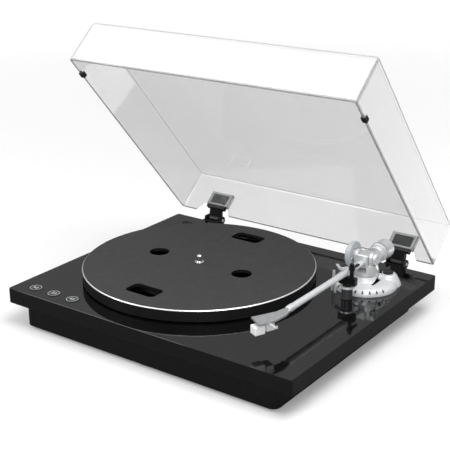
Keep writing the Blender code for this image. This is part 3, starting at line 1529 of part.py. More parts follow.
def make_finger_lift():
    """A strip on top of the headshell that runs out past its right edge and curls up at its end."""
    low = HEADSHELL_TOP - PITCH_HEIGHT + SEAT_GAP
    high = low + FINGER_LIFT_THICKNESS
    left = FINGER_LIFT_X
    right = left + FINGER_LIFT_LENGTH
    near = FINGER_LIFT_Y - FINGER_LIFT_WIDTH / 2
    far = FINGER_LIFT_Y + FINGER_LIFT_WIDTH / 2
    strip = block("finger_lift", CARTRIDGE_FRAME, (left, near, low), (right, far, high), SILVER_PAINT)
    near_curl = near + FINGER_LIFT_CURL_INSET
    far_curl = far - FINGER_LIFT_CURL_INSET
    lap = FINGER_LIFT_LAP_SHARE * FINGER_LIFT_THICKNESS
    curl = block(
        "finger_lift_curl",
        CARTRIDGE_FRAME,
        (right - FINGER_LIFT_THICKNESS, near_curl, low + lap),
        (right + lap, far_curl, low + FINGER_LIFT_CURL),
    )
    join(strip, curl)


def make_cartridge():
    top = HEADSHELL_TOP - HEADSHELL_THICKNESS - SEAT_GAP - PITCH_HEIGHT
    plate_low = top - CARTRIDGE_PLATE_THICKNESS
    half = CARTRIDGE_PLATE_WIDTH / 2
    rear = CARTRIDGE_PLATE_SETBACK + CARTRIDGE_PLATE_LENGTH
    body = block(
        "cartridge",
        CARTRIDGE_FRAME,
        (-half, CARTRIDGE_PLATE_SETBACK, plate_low),
        (half, rear, top),
        GREY_PLASTIC,
    )
    front = STYLUS_LENGTH + SEAT_GAP
    lower = block(
        "cartridge_body",
        CARTRIDGE_FRAME,
        (-CARTRIDGE_WIDTH / 2, front, plate_low - CARTRIDGE_HEIGHT),
        (CARTRIDGE_WIDTH / 2, front + CARTRIDGE_LENGTH, plate_low + CARTRIDGE_PLATE_THICKNESS / 2),
    )
    join(body, lower)


def make_stylus():
    top = HEADSHELL_TOP - HEADSHELL_THICKNESS - CARTRIDGE_PLATE_THICKNESS - 2 * SEAT_GAP - PITCH_HEIGHT
    bottom = STYLUS_BOTTOM - PITCH_HEIGHT
    half = STYLUS_WIDTH / 2
    body = block(
        "stylus_assembly",
        CARTRIDGE_FRAME,
        (-half, 0.0, bottom),
        (half, STYLUS_LENGTH, top),
        WHITE_PLASTIC,
        edge=STYLUS_CHAMFER,
    )
    tip = round_bar(
        "stylus_tip",
        CARTRIDGE_FRAME,
        (0.0, STYLUS_TIP_SETBACK, bottom - STYLUS_TIP_DROP),
        (0.0, STYLUS_TIP_SETBACK, bottom + STYLUS_TIP_DROP),
        STYLUS_TIP_RADIUS / 2,
        end_radius=STYLUS_TIP_RADIUS,
        steps=TINY_STEPS,
    )
    join(body, tip)


def make_counterweight():
    height = (0.0, 0.0, -TUBE_DROP)
    round_bar(
        "counterweight_shaft",
        PITCH_FRAME,
        (0.0, TUBE_START, -TUBE_DROP),
        (0.0, REAR_SHAFT_END, -TUBE_DROP),
        REAR_SHAFT_RADIUS,
        STEEL,
    )
    bore = REAR_SHAFT_RADIUS + SEAT_GAP
    dial = [
        (bore, DIAL_FRONT + DIAL_LENGTH),
        (DIAL_REAR_RADIUS, DIAL_FRONT + DIAL_LENGTH),
        (DIAL_REAR_RADIUS, DIAL_FRONT + DIAL_LENGTH / 2),
        (DIAL_FRONT_RADIUS, DIAL_FRONT),
        (bore, DIAL_FRONT),
    ]
    turned("force_dial", PITCH_FRAME, dial, SILVER_PAINT, ROUND_STEPS, height, ALONG_Y)
    front = WEIGHT_FRONT
    rear = front + WEIGHT_LENGTH
    weight = [
        (WEIGHT_RECESS_RADIUS, rear),
        (WEIGHT_RADIUS - WEIGHT_EDGE, rear),
        (WEIGHT_RADIUS, rear - WEIGHT_EDGE),
        (WEIGHT_RADIUS, front + WEIGHT_FRONT_BAND + WEIGHT_EDGE),
        (WEIGHT_FRONT_RADIUS, front + WEIGHT_FRONT_BAND),
        (WEIGHT_FRONT_RADIUS, front),
        (bore, front),
        (bore, rear - WEIGHT_RECESS_DEPTH),
        (WEIGHT_RECESS_RADIUS, rear - WEIGHT_RECESS_DEPTH),
    ]
    turned("counterweight", PITCH_FRAME, weight, STEEL, ROUND_STEPS, height, ALONG_Y)


def make_dust_cover():
    """A box with no floor, its upright and top edges rounded, given a wall and notched at the hinges."""
    low = COVER_RIM_LIFT
    bm = bmesh.new()
    bmesh.ops.create_cube(bm, size=1.0)
    bmesh.ops.scale(bm, vec=(COVER_WIDTH, COVER_DEPTH, COVER_HEIGHT), verts=bm.verts)
    floor = [face for face in bm.faces if face.normal.z < -sin(COVER_OPEN)]
    bmesh.ops.delete(bm, geom=floor, context="FACES_ONLY")
    sharp = [edge for edge in bm.edges if len(edge.link_faces) == 2]
    bmesh.ops.bevel(
        bm,
        geom=sharp,
        offset=COVER_CORNER,
        segments=COVER_CORNER_STEPS,
        profile=ROUND_PROFILE,
        affect="EDGES",
    )
    centre = (0.0, COVER_REAR - COVER_DEPTH / 2, low + COVER_HEIGHT / 2)
    cover = place("dust_cover", mesh_from(bm, "dust_cover"), COVER_FRAME, CLEAR_ACRYLIC, centre)
    wall = cover.modifiers.new("wall", "SOLIDIFY")
    wall.thickness = COVER_WALL
    wall.offset = -1.0
    wall.use_even_offset = True
    wall.use_rim = True
    for side in (-1, 1):
        x = side * HINGE_X
        widen = (NOTCH_HALF_RIM - NOTCH_HALF_TOP) * OVERRUN / NOTCH_HEIGHT
        outline = [
            (-NOTCH_HALF_RIM - widen, low - OVERRUN),
            (NOTCH_HALF_RIM + widen, low - OVERRUN),
            (NOTCH_HALF_TOP, low + NOTCH_HEIGHT),
            (-NOTCH_HALF_TOP, low + NOTCH_HEIGHT),
        ]
        here = frame("notch_place_%d" % side, COVER_FRAME, (x, COVER_REAR, 0.0))
        reach = COVER_WALL + OVERRUN
        cut(cover, plate("notch_%d" % side, here, [outline], -reach, reach, rotation=FACING_Y))


def make_hinge(side, x):
    """One hinge: bracket and pin on the plinth, leaf and clear pocket on the cover."""
    still = frame("hinge_place_" + side, HINGE_LINE, (x, 0.0, 0.0))
    moving = frame("leaf_place_" + side, COVER_FRAME, (x, 0.0, 0.0))
    face = -HINGE_BEHIND + SEAT_GAP
    bracket = block(
        "hinge_bracket_" + side,
        still,
        (-BRACKET_HALF_WIDTH, face, -BRACKET_BOTTOM),
        (BRACKET_HALF_WIDTH, face + BRACKET_THICKNESS, BRACKET_TOP),
        BLACK_PLASTIC,
    )
    root = face + BRACKET_THICKNESS / 2
    ear = [(root, BRACKET_EAR_RADIUS), (root, -BRACKET_EAR_RADIUS)]
    ear += arc(0.0, 0.0, BRACKET_EAR_RADIUS, -pi / 2, pi / 2, TINY_STEPS)
    inner = KNUCKLE_HALF_WIDTH + SEAT_GAP
    outer = inner + CHEEK_PLATE_THICKNESS
    for name, low, high in (("ear_right_", inner, outer), ("ear_left_", -outer, -inner)):
        join(bracket, plate(name + side, still, [ear], low, high, rotation=FACING_X))
    out = outer + OVERRUN
    hole = PIN_RADIUS + SEAT_GAP
    drill(bracket, "ear_holes_" + side, (-out, 0.0, 0.0), (out, 0.0, 0.0), hole, TINY_STEPS)
    end = outer + PIN_PROUD
    round_bar(
        "hinge_pin_" + side, still, (-end, 0.0, 0.0), (end, 0.0, 0.0), PIN_RADIUS, STEEL, steps=TINY_STEPS
    )
    rim = COVER_RIM_LIFT
    leaf = block(
        "hinge_leaf_" + side,
        moving,
        (-LEAF_HALF_WIDTH, LEAF_FRONT, rim + LEAF_LOW),
        (LEAF_HALF_WIDTH, LEAF_REAR, rim + LEAF_HIGH),
        BLACK_PLASTIC,
    )
    flange = block(
        "flange_" + side,
        moving,
        (-FLANGE_HALF_WIDTH, -FLANGE_FRONT, rim + FLANGE_LOW),
        (FLANGE_HALF_WIDTH, -FLANGE_REAR, rim + FLANGE_HIGH),
    )
    knuckle = round_bar(
        "knuckle_" + side,
        moving,
        (-KNUCKLE_HALF_WIDTH, 0.0, 0.0),
        (KNUCKLE_HALF_WIDTH, 0.0, 0.0),
        KNUCKLE_RADIUS,
    )
    run = hypot(NECK_TOP_Y, NECK_TOP_Z)
    half = NECK_THICKNESS / 2
    neck_shape = [(0.0, -half), (run, -half), (run, half), (0.0, half)]
    lean = frame("neck_place_" + side, moving, UPRIGHT, (atan2(NECK_TOP_Z, NECK_TOP_Y), 0.0, 0.0))
    neck = plate(
        "neck_" + side, lean, [neck_shape], -NECK_HALF_WIDTH, NECK_HALF_WIDTH, rotation=FACING_X
    )
    join(leaf, flange, neck, knuckle)
    drill(leaf, "knuckle_hole_" + side, (-out, 0.0, 0.0), (out, 0.0, 0.0), hole, TINY_STEPS)
    pocket_half = LEAF_HALF_WIDTH + SEAT_GAP + POCKET_WALL
    pocket_top = rim + LEAF_HIGH + SEAT_GAP + POCKET_WALL
    pocket = block(
        "hinge_pocket_" + side,
        moving,
        (-pocket_half, COVER_REAR + SEAT_GAP, rim + FLANGE_HIGH + SEAT_GAP),
        (pocket_half, LEAF_REAR + SEAT_GAP + POCKET_WALL, pocket_top),
        CLEAR_ACRYLIC,
    )
    room = block(
        "pocket_room_" + side,
        moving,
        (-LEAF_HALF_WIDTH - SEAT_GAP, COVER_REAR - OVERRUN, rim),
        (LEAF_HALF_WIDTH + SEAT_GAP, LEAF_REAR + SEAT_GAP, rim + LEAF_HIGH + SEAT_GAP),
    )
    cut(pocket, room)


def make_bumper(side, sign):
    """A soft clip that wraps the rim of a side wall."""
    here = frame(
        "bumper_place_" + side,
        COVER_FRAME,
        (sign * (COVER_WIDTH - COVER_WALL) / 2, COVER_REAR - BUMPER_SETBACK, COVER_RIM_LIFT),
    )
    half_slot = COVER_WALL / 2 + SEAT_GAP
    half = half_slot + BUMPER_WALL
    bumper = block(
        "lid_bumper_" + side,
        here,
        (-half, -BUMPER_LENGTH / 2, -BUMPER_DROP),
        (half, BUMPER_LENGTH / 2, BUMPER_LIP),
        RUBBER,
    )
    slot = block(
        "bumper_slot_" + side,
        here,
        (-half_slot, -BUMPER_LENGTH, -SEAT_GAP),
        (half_slot, BUMPER_LENGTH, BUMPER_LIP + OVERRUN),
    )
    cut(bumper, slot)


def settle_meshes():
    """Turns each sub-part's modifiers into its mesh, and shades it smooth between sharp edges."""
    bpy.context.view_layer.update()
    graph = bpy.context.evaluated_depsgraph_get()
    parts = [obj for obj in TURNTABLE.objects if obj.type == "MESH"]
    meshes = [bpy.data.meshes.new_from_object(obj.evaluated_get(graph)) for obj in parts]
    for obj, mesh in zip(parts, meshes):
        obj.modifiers.clear()
        mesh.shade_smooth()
        mesh.set_sharp_from_angle(angle=SHARP_ANGLE)
        mesh.name = obj.name
        obj.data = mesh


def main():
    make_plinth()
    make_base_box()
    make_bottom_cover()
    make_feet()
    make_platter()
    make_spindle()
    make_drive()
    make_buttons()
    make_rca_sockets()
    make_usb_socket()
    make_dc_socket()
    make_ground_terminal()
    make_line_switch()
    make_arm_base()
    make_arm_base_nut()
    make_anti_skate_knob()
    make_cue_lever()
    make_lift()
    make_lift_guide()
    make_arm_rest()
    make_arm_rest_clip()
    make_turret()
    make_pivot_screws()
    make_bearing_covers()
    make_pivot_block()
    make_arm_tube()
    make_headshell()
    make_finger_lift()
    make_cartridge()
    make_stylus()
    make_counterweight()
    make_dust_cover()
    for side, sign in (("left", -1), ("right", 1)):
        make_hinge(side, sign * HINGE_X)
        make_bumper(side, sign)
    settle_meshes()


main()
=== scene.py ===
"""A belt-drive USB turntable with its clear cover open: the look of every piece, the light and the camera.

Lengths are in metres. Each piece keeps the place that the frame gives it, and rides on its body.
"""

import json
from math import atan2, cos, degrees, pi, radians, sin

import bmesh
import bpy
import numpy as np
from mathutils import Matrix, Vector


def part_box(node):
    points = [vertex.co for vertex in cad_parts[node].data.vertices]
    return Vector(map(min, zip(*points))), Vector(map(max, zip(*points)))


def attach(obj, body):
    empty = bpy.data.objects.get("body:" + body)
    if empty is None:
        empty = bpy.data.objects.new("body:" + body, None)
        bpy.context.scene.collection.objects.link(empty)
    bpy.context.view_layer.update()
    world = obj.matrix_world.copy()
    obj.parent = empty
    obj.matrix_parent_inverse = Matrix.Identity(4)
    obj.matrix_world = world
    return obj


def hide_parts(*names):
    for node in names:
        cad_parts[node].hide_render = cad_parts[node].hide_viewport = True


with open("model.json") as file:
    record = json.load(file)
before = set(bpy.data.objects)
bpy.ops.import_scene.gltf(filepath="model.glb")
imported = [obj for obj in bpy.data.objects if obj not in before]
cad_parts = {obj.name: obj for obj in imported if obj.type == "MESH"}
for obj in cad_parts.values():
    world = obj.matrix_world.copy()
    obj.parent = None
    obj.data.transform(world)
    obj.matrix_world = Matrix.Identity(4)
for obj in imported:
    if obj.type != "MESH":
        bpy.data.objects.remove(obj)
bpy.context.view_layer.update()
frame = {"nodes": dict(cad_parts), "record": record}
nodes = frame["nodes"]

MM = 0.001
DECK_TOP = 49.5 * MM
ARM_AXIS = np.array((150.0, 68.175, 49.5)) * MM
WHITE = (1.0, 1.0, 1.0, 1.0)
BLACK = (0.0, 0.0, 0.0, 1.0)
# Settings of the shader nodes that mix colours and do sums.
COLOURS = {"data_type": "RGBA"}
ABOVE = {"operation": "GREATER_THAN"}
BELOW = {"operation": "LESS_THAN"}
LARGER = {"operation": "MAXIMUM"}
PRODUCT = {"operation": "MULTIPLY"}
# Most of a soft pattern lies between these two values.
CLOUD_LOW, CLOUD_HIGH = 0.3, 0.7


def linear(text):
    """An sRGB hex colour as a linear RGBA colour."""
    values = [int(text[i : i + 2], 16) / 255 for i in (0, 2, 4)]
    return tuple(v / 12.92 if v <= 0.04045 else ((v + 0.055) / 1.055) ** 2.4 for v in values) + (1.0,)


def per(size_mm):
    """The texture scale that gives a pattern of about this size."""
    return 1 / (size_mm * MM)


def add(tree, kind, settings=None, **inputs):
    """Adds a shader node. An input, by name or number, is a value, an output socket or a node's first one."""
    made = tree.nodes.new(kind)
    for key, value in (settings or {}).items():
        setattr(made, key, value)
    for key, value in inputs.items():
        numbered = key[0] == "i" and key[1:].isdigit()
        socket = made.inputs[int(key[1:]) if numbered else key.replace("_", " ")]
        if isinstance(value, bpy.types.Node):
            value = value.outputs[0]
        if isinstance(value, bpy.types.NodeSocket):
            tree.links.new(value, socket)
        else:
            socket.default_value = value
    return made


def cloudy(tree, size_mm, detail=2.0, stretch=None):
    """A soft pattern from 0 to 1 with patches of about size_mm, longer along an axis if stretched."""
    where = add(tree, "ShaderNodeTexCoord").outputs["Object"]
    if stretch:
        where = add(tree, "ShaderNodeMapping", Vector=where, Scale=stretch)
    return add(tree, "ShaderNodeTexNoise", Vector=where, Scale=per(size_mm), Detail=detail).outputs["Fac"]


def surface(name):
    """A new material, its node tree and its principled shader."""
    made = bpy.data.materials.new(name)
    made.use_nodes = True
    tree = made.node_tree
    return made, tree, tree.nodes["Principled BSDF"]


def finish(
    name, dark, light, rough, metallic=0.0, size_mm=6.0, relief=None, fine_mm=0.4, ior=1.5, stretch=None
):
    """A material whose colour and gloss drift a little, with an optional fine relief.

    The colour goes from dark to light, and the roughness through its range, as the pattern goes from
    CLOUD_LOW to CLOUD_HIGH. The relief is a quarter as deep as its grain is wide.
    """
    made, tree, shader = surface(name)
    steps = {"From_Min": CLOUD_LOW, "From_Max": CLOUD_HIGH}
    shade = add(tree, "ShaderNodeMapRange", Value=cloudy(tree, size_mm, 3.0, stretch), **steps)
    colour = add(tree, "ShaderNodeMix", COLOURS, i0=shade, i6=linear(dark), i7=linear(light))
    tree.links.new(colour.outputs[2], shader.inputs["Base Color"])
    patches = cloudy(tree, size_mm / 3, stretch=stretch)
    gloss = add(tree, "ShaderNodeMapRange", Value=patches, To_Min=rough[0], To_Max=rough[1], **steps)
    tree.links.new(gloss.outputs[0], shader.inputs["Roughness"])
    shader.inputs["Metallic"].default_value = metallic
    shader.inputs["IOR"].default_value = ior
    if relief:
        grain = cloudy(tree, fine_mm, stretch=stretch)
        bump = add(tree, "ShaderNodeBump", Height=grain, Strength=relief, Distance=fine_mm / 4 * MM)
        tree.links.new(bump.outputs[0], shader.inputs["Normal"])
    return made


# Lacquered, sanded and polished board: it mirrors what stands on it, with a faint wave from the sanding.
LACQUER = finish(
    "black_piano_lacquer", "08080a", "0c0c0d", (0.035, 0.06), size_mm=40, relief=0.02, fine_mm=9.0
)
# Moulded ABS box: a satin black with a grain from the mould, drawn coarser than the real one so that it
# shows.
BOX_PLASTIC = finish(
    "satin_black_abs", "09090a", "0d0d0e", (0.36, 0.46), size_mm=12, relief=0.06, fine_mm=0.6, ior=1.42
)
# Small moulded ABS parts: a smoother black.
SMALL_PLASTIC = finish(
    "smooth_black_abs", "08080a", "0d0d0e", (0.28, 0.38), size_mm=5, relief=0.03, ior=1.42
)
# Enamel sprayed on the cast platter: powdery and dark grey on top, with specks drawn 0.6 mm wide so that
# they show, and blacker down its side.
ENAMEL = finish(
    "matte_black_enamel", "333333", "373737", (0.72, 0.82), size_mm=14, relief=0.12, fine_mm=0.6, ior=1.4
)
ENAMEL_SIDE = finish("black_enamel_side", "0a0a0b", "0f0f10", (0.5, 0.6), size_mm=14, ior=1.4)
# Edge of the platter cut bare on a lathe: a bright line that catches light from every side.
BRIGHT_EDGE = finish("diamond_cut_aluminium", "e6e7e8", "f2f2f2", (0.3, 0.4), 0.6, size_mm=8)
# Moulded rubber feet: dull, with a slight tooth.
RUBBER = finish("black_rubber", "0b0b0b", "121212", (0.7, 0.85), size_mm=4, relief=0.2)
# Painted cast arm base: a pearl-silver lacquer, nearly white where the light falls on it.
PEARL = finish("pearl_silver_lacquer", "d8dadc", "e2e4e5", (0.28, 0.36), 0.15, size_mm=7)
# Drawn and painted aluminium tube: a broad soft highlight along it.
SATIN = finish("satin_silver_aluminium", "dcdee0", "e6e8ea", (0.28, 0.38), 0.35, size_mm=5)
# Plated bearings: chrome over a blasted surface, soft and pale.
CHROME = finish("satin_chrome", "e4e6e7", "eceded", (0.28, 0.34), 0.6, size_mm=9)
# Polished and plated spindle, screws and lever: sharp small reflections.
BRIGHT_CHROME = finish("polished_chrome", "e8e9ea", "f4f4f4", (0.06, 0.12), 1.0)
# Turned steel counterweight and sockets: a pale grey sheen.
STEEL = finish("turned_steel", "d6d8da", "e2e4e5", (0.28, 0.38), 0.4, size_mm=3)
# Darkened steel post of the arm rest: a dull grey.
DARK_STEEL = finish("dark_satin_steel", "444547", "505153", (0.3, 0.4), 0.35, size_mm=3)
# Turned brass inside the box: a soft yellow sheen.
BRASS = finish("turned_brass", "b08d4a", "c8a764", (0.28, 0.36), 1.0, size_mm=3)
# Moulded ABS of the large bearing disc, painted silver grey: even and flat.
GREY_PLASTIC = finish("silver_grey_abs", "b8bbbd", "c4c7c9", (0.34, 0.44), 0.1, size_mm=4)
# Moulded cartridge body: a pale grey, a little darker than the white stylus block before it.
PALE_PLASTIC = finish("pale_grey_abs", "ccced0", "d6d8da", (0.3, 0.4), size_mm=4)
# Moulded polystyrene of the stylus block: white, with a soft gloss.
WHITE_PLASTIC = finish("white_polystyrene", "f0f0f0", "f8f8f8", (0.28, 0.36), size_mm=4)
# Headshell of aluminium brushed along its length: streaks of light and dark grey, drawn 1 mm wide and 12 mm
# long, because the real ones are too fine to show.
BRUSHED = finish(
    "brushed_aluminium", "a8aaac", "c6c8ca", (0.3, 0.42), 0.7, size_mm=3, stretch=(3.0, 0.25, 1.0)
)
# Circuit board under a printed solder mask: an even dark green.
BOARD = finish("green_solder_mask", "0d4a26", "17603a", (0.3, 0.4), size_mm=3)
# Engraved marks filled with ink: a matt dark grey. The same grey in the counterweight's gaps is painted
# shade, standing in for the shade inside them.
INK_AND_GROOVE_SHADE = finish("dark_grey_ink_and_groove_shade", "46484a", "525456", (0.6, 0.7), size_mm=2)
# Printed marks on the buttons: a matt silver white.
WHITE_INK = finish("silver_white_ink", "d2d4d6", "e2e4e6", (0.4, 0.5), size_mm=2)
# Stamped ring round each button: a thin line of silver.
RING_METAL = finish("thin_silver_ring", "c4c6c8", "d2d4d6", (0.35, 0.45), 0.2, size_mm=2)

# Cover as it stands: degrees that it is open, its hinge, and the sheet's edge and wall zones.
COVER_OPEN = 49.0
COVER_HINGE = np.array((0.0, 159.675, 49.5)) * MM
EDGE_WIDTH = 1.75 * MM
RIM_SKIN = 0.05 * MM
WALL_SKIN = 3.2 * MM
# Share of frost on sawn edges, and how much of it the folded edges of the cover have; on the folded edges
# this grey is painted shade, standing in for the dark lines that the bent sheet shows there.
EDGE_FROST_AND_SHADE = 0.72
FOLDED_EDGE_SHADE = 0.6
# Grey of the frost on sawn edges, and of the painted shade on the folded edges.
FROST_AND_SHADE = "7c7e80"
# Cast sheet: its IOR, its roughness from patch to patch, the size of a patch in mm, and its smoke.
SHEET_IOR = 1.49
SHEET_POLISH = (0.01, 0.03)
SHEET_PATCH = 30.0
SMOKE = "b4b4b4"
COVER_SMOKE, POCKET_SMOKE = 32.0, 20.0
POCKET_HAZE = 0.10
# Painted shade on the cover's sheet: its colour behind its front wall, and on its sides and rear wall, each
# darker than the clear front wall to stand in for how light falls on them.
PAINTED_SHADE_BEHIND, PAINTED_SHADE_SIDES = "f9f9f9", "f0f0f0"


def laid_flat(node):
    """(lowest, highest) corner of a cover piece once the cover is turned shut, without its turn and hinge."""
    points = np.array([v.co for v in nodes[node].data.vertices]) - COVER_HINGE
    turn = radians(COVER_OPEN)
    flat = np.column_stack([
        abs(points[:, 0]),
        points[:, 1] * cos(turn) - points[:, 2] * sin(turn),
        points[:, 1] * sin(turn) + points[:, 2] * cos(turn),
    ])
    return flat.min(0), flat.max(0)


def flat_place(tree):
    """Where a point lies with the cover turned shut: left and right are counted alike."""
    place = add(
        tree,
        "ShaderNodeMapping",
        {"vector_type": "TEXTURE"},
        Vector=add(tree, "ShaderNodeTexCoord").outputs["Object"],
        Location=tuple(COVER_HINGE),
        Rotation=(radians(-COVER_OPEN), 0.0, 0.0),
    )
    parts = add(tree, "ShaderNodeSeparateXYZ", Vector=place)
    side = add(tree, "ShaderNodeMath", {"operation": "ABSOLUTE"}, i0=parts.outputs["X"])
    return side.outputs[0], parts.outputs["Y"], parts.outputs["Z"]


def edges_of(tree, low, high):
    """1 where two of a point's coordinates are within EDGE_WIDTH of the outside of a box, 0 elsewhere."""
    count = 0.0
    for value, start, end in zip(flat_place(tree), low, high):
        near = add(tree, "ShaderNodeMath", ABOVE, i0=value, i1=end - EDGE_WIDTH)
        if start != 0:
            lower = add(tree, "ShaderNodeMath", BELOW, i0=value, i1=start + EDGE_WIDTH)
            near = add(tree, "ShaderNodeMath", LARGER, i0=near, i1=lower)
        count = add(tree, "ShaderNodeMath", i0=count, i1=near)
    return add(tree, "ShaderNodeMath", ABOVE, i0=count, i1=1.5)


def make_acrylic(name, node, haze, smoke, walled=False):
    """Clear cast sheet with a light smoke tint: faces mirror more at a slant, and thicker views are darker.

    The mirror share is the plain Fresnel rate of sheet in air, from outside and from inside alike. Sawn
    edges are frosted, and so scatter the light and look grey; the cover's folded edges get part of that grey
    as painted shade. Of the cover's walls the front one is the clearest, and the sides and the rear wall are
    darkened by painted shade, standing in for how light falls on them.
    """
    made, tree, shader = surface(name)
    out = tree.nodes["Material Output"]
    tree.nodes.remove(shader)
    low, high = laid_flat(node)
    if walled:
        low[0] = 0
    edges = edges_of(tree, low, high)
    tint = WHITE
    if walled:
        side, depth, height = flat_place(tree)
        # Painted shade: the folded edges get part of the frost's grey.
        folded = add(tree, "ShaderNodeMath", PRODUCT, i0=edges, i1=FOLDED_EDGE_SHADE)
        foot = add(tree, "ShaderNodeMath", BELOW, i0=height, i1=low[2] + RIM_SKIN)
        edges = add(tree, "ShaderNodeMath", LARGER, i0=folded, i1=foot)
        # Painted shade: the sheet behind the front wall is a little darker than the front wall.
        behind = add(tree, "ShaderNodeMath", ABOVE, i0=depth, i1=low[1] + WALL_SKIN)
        tint = add(tree, "ShaderNodeMix", COLOURS, i0=behind, i6=tint, i7=linear(PAINTED_SHADE_BEHIND)).outputs[2]
        # Painted shade: the sides and the rear wall are darker still, standing in for how light falls on
        # them.
        beside = add(tree, "ShaderNodeMath", ABOVE, i0=side, i1=high[0] - WALL_SKIN)
        rear = add(tree, "ShaderNodeMath", ABOVE, i0=depth, i1=high[1] - WALL_SKIN)
        shaded_walls = add(tree, "ShaderNodeMath", LARGER, i0=beside, i1=rear)
        tint = add(tree, "ShaderNodeMix", COLOURS, i0=shaded_walls, i6=tint, i7=linear(PAINTED_SHADE_SIDES)).outputs[2]
    # The clear share carries the walls' painted shade.
    clear = add(tree, "ShaderNodeBsdfTransparent", Color=tint)
    polish = add(
        tree,
        "ShaderNodeMapRange",
        Value=cloudy(tree, SHEET_PATCH),
        From_Min=CLOUD_LOW,
        From_Max=CLOUD_HIGH,
        To_Min=SHEET_POLISH[0],
        To_Max=SHEET_POLISH[1],
    )
    mirror = add(tree, "ShaderNodeBsdfGlossy", Color=WHITE, Roughness=polish)
    inside = add(tree, "ShaderNodeNewGeometry").outputs["Backfacing"]
    index = add(tree, "ShaderNodeMapRange", Value=inside, To_Min=SHEET_IOR, To_Max=1 / SHEET_IOR)
    rate = add(tree, "ShaderNodeFresnel", IOR=index)
    sheet = add(tree, "ShaderNodeMixShader", i0=rate, i1=clear, i2=mirror)
    # Grey diffuse: frost on sawn edges, painted shade on folded edges.
    frost_and_shade = add(tree, "ShaderNodeBsdfDiffuse", Color=linear(FROST_AND_SHADE))
    share = add(tree, "ShaderNodeMapRange", Value=edges, To_Min=haze, To_Max=EDGE_FROST_AND_SHADE)
    mixed = add(tree, "ShaderNodeMixShader", i0=share, i1=sheet, i2=frost_and_shade)
    tree.links.new(mixed.outputs[0], out.inputs["Surface"])
    smoky = add(tree, "ShaderNodeVolumeAbsorption", Color=linear(SMOKE), Density=smoke)
    tree.links.new(smoky.outputs[0], out.inputs["Volume"])
    return made


# Cover of cast acrylic, bent and glued: clear, with a light smoke and grey edges, which on its folded corners
# are painted shade; its sides and rear wall are darkened by painted shade too.
ACRYLIC = make_acrylic("smoked_acrylic", "dust_cover", 0.0, COVER_SMOKE, walled=True)
# Pockets of the same sheet, glued on: a faint haze from the glue.
POCKET_ACRYLIC = make_acrylic("glued_clear_acrylic", "hinge_pocket_left", POCKET_HAZE, POCKET_SMOKE)
# Border of each pocket, sawn from clear sheet: frosted, and so pale grey.
BORDER_ACRYLIC = finish("frosted_clear_acrylic", "b4b6b8", "c2c4c6", (0.3, 0.4), size_mm=4)

# Material of each slot of the record, and of the pieces that differ from their slot.
SLOTS = {
    "gloss_black_lacquer": LACQUER,
    "black_plastic": SMALL_PLASTIC,
    "matte_black_enamel": ENAMEL,
    "black_rubber": RUBBER,
    "silver_satin_metal": SATIN,
    "chromed_steel": CHROME,
    "plain_steel": STEEL,
    "brass": BRASS,
    "white_plastic": WHITE_PLASTIC,
    "silver_grey_plastic": GREY_PLASTIC,
    "green_circuit_board": BOARD,
    "smoked_clear_acrylic": ACRYLIC,
}
SPECIAL = {
    "base_box": BOX_PLASTIC,
    "bottom_cover": BOX_PLASTIC,
    "arm_rest_post": DARK_STEEL,
    "headshell": BRUSHED,
    "cartridge": PALE_PLASTIC,
    "hinge_pocket_left": POCKET_ACRYLIC,
    "hinge_pocket_right": POCKET_ACRYLIC,
    "lift_guide": GREY_PLASTIC,
    "spindle": BRIGHT_CHROME,
}
# Pieces whose facets stand for round or softened forms, with the width of their rounded edges in mm.
REFINED = {
    "platter": 0.5,
    "spindle": 0.3,
    "arm_turret": 0.35,
    "bearing_disc_left": 0.5,
    "bearing_cap_right": 0.4,
    "pivot_block": 0.5,
    "pivot_screw_left": 0.15,
    "pivot_screw_right": 0.15,
    "arm_tube": 0.15,
    "headshell": 0.3,
    "cartridge": 0.35,
    "stylus_assembly": 0.3,
    "counterweight_shaft": 0.2,
    "counterweight": 0.5,
    "force_dial": 0.3,
    "arm_rest_post": 0.35,
    "arm_rest_cradle": 0.4,
    "arm_rest_clip": 0.3,
    "lift_cylinder": 0.25,
    "lift_platform": 0.3,
    "lift_guide": 0.25,
    "anti_skate_knob": 0.3,
    "start_stop_button": 0.15,
    "speed_33_button": 0.15,
    "speed_45_button": 0.15,
    "foot_front_left": 0.6,
    "foot_front_right": 0.6,
    "foot_rear_left": 0.6,
    "foot_rear_right": 0.6,
    "rca_socket_left": 0.15,
    "rca_socket_right": 0.15,
    "usb_socket": 0.15,
    "dc_socket": 0.2,
    "ground_terminal": 0.2,
    "phono_line_switch": 0.2,
    "hinge_bracket_left": 0.4,
    "hinge_bracket_right": 0.4,
    "hinge_leaf_left": 0.4,
    "hinge_leaf_right": 0.4,
    "hinge_pin_left": 0.2,
    "hinge_pin_right": 0.2,
    "lid_bumper_left": 0.3,
    "lid_bumper_right": 0.3,
}
# Body and material slot of each node.
HOME = {node: body for body, held in frame["record"]["behaviour"]["bodies"].items() for node in held}
SLOT_OF = {row["node"]: row["material_slot"] for row in frame["record"]["subparts"]}


# Faces meet smoothly under the first angle, and an edge is rounded over the second, in degrees.
SMOOTH_UNDER, ROUND_OVER = 32.0, 38.0


def dress(obj, material):
    """Gives a piece this material alone."""
    obj.data.materials.clear()
    obj.data.materials.append(material)


def paint(obj, material, test):
    """Gives a second material to the faces whose centre and normal pass the test."""
    obj.data.materials.append(material)
    index = len(obj.data.materials) - 1
    for face in obj.data.polygons:
        if test(face.center, face.normal):
            face.material_index = index


def smooth(mesh):
    """Shades a mesh smoothly, apart from its sharp edges."""
    if "custom_normal" in mesh.attributes:
        mesh.attributes.remove(mesh.attributes["custom_normal"])
    mesh.shade_smooth()
    mesh.set_sharp_from_angle(angle=radians(SMOOTH_UNDER))


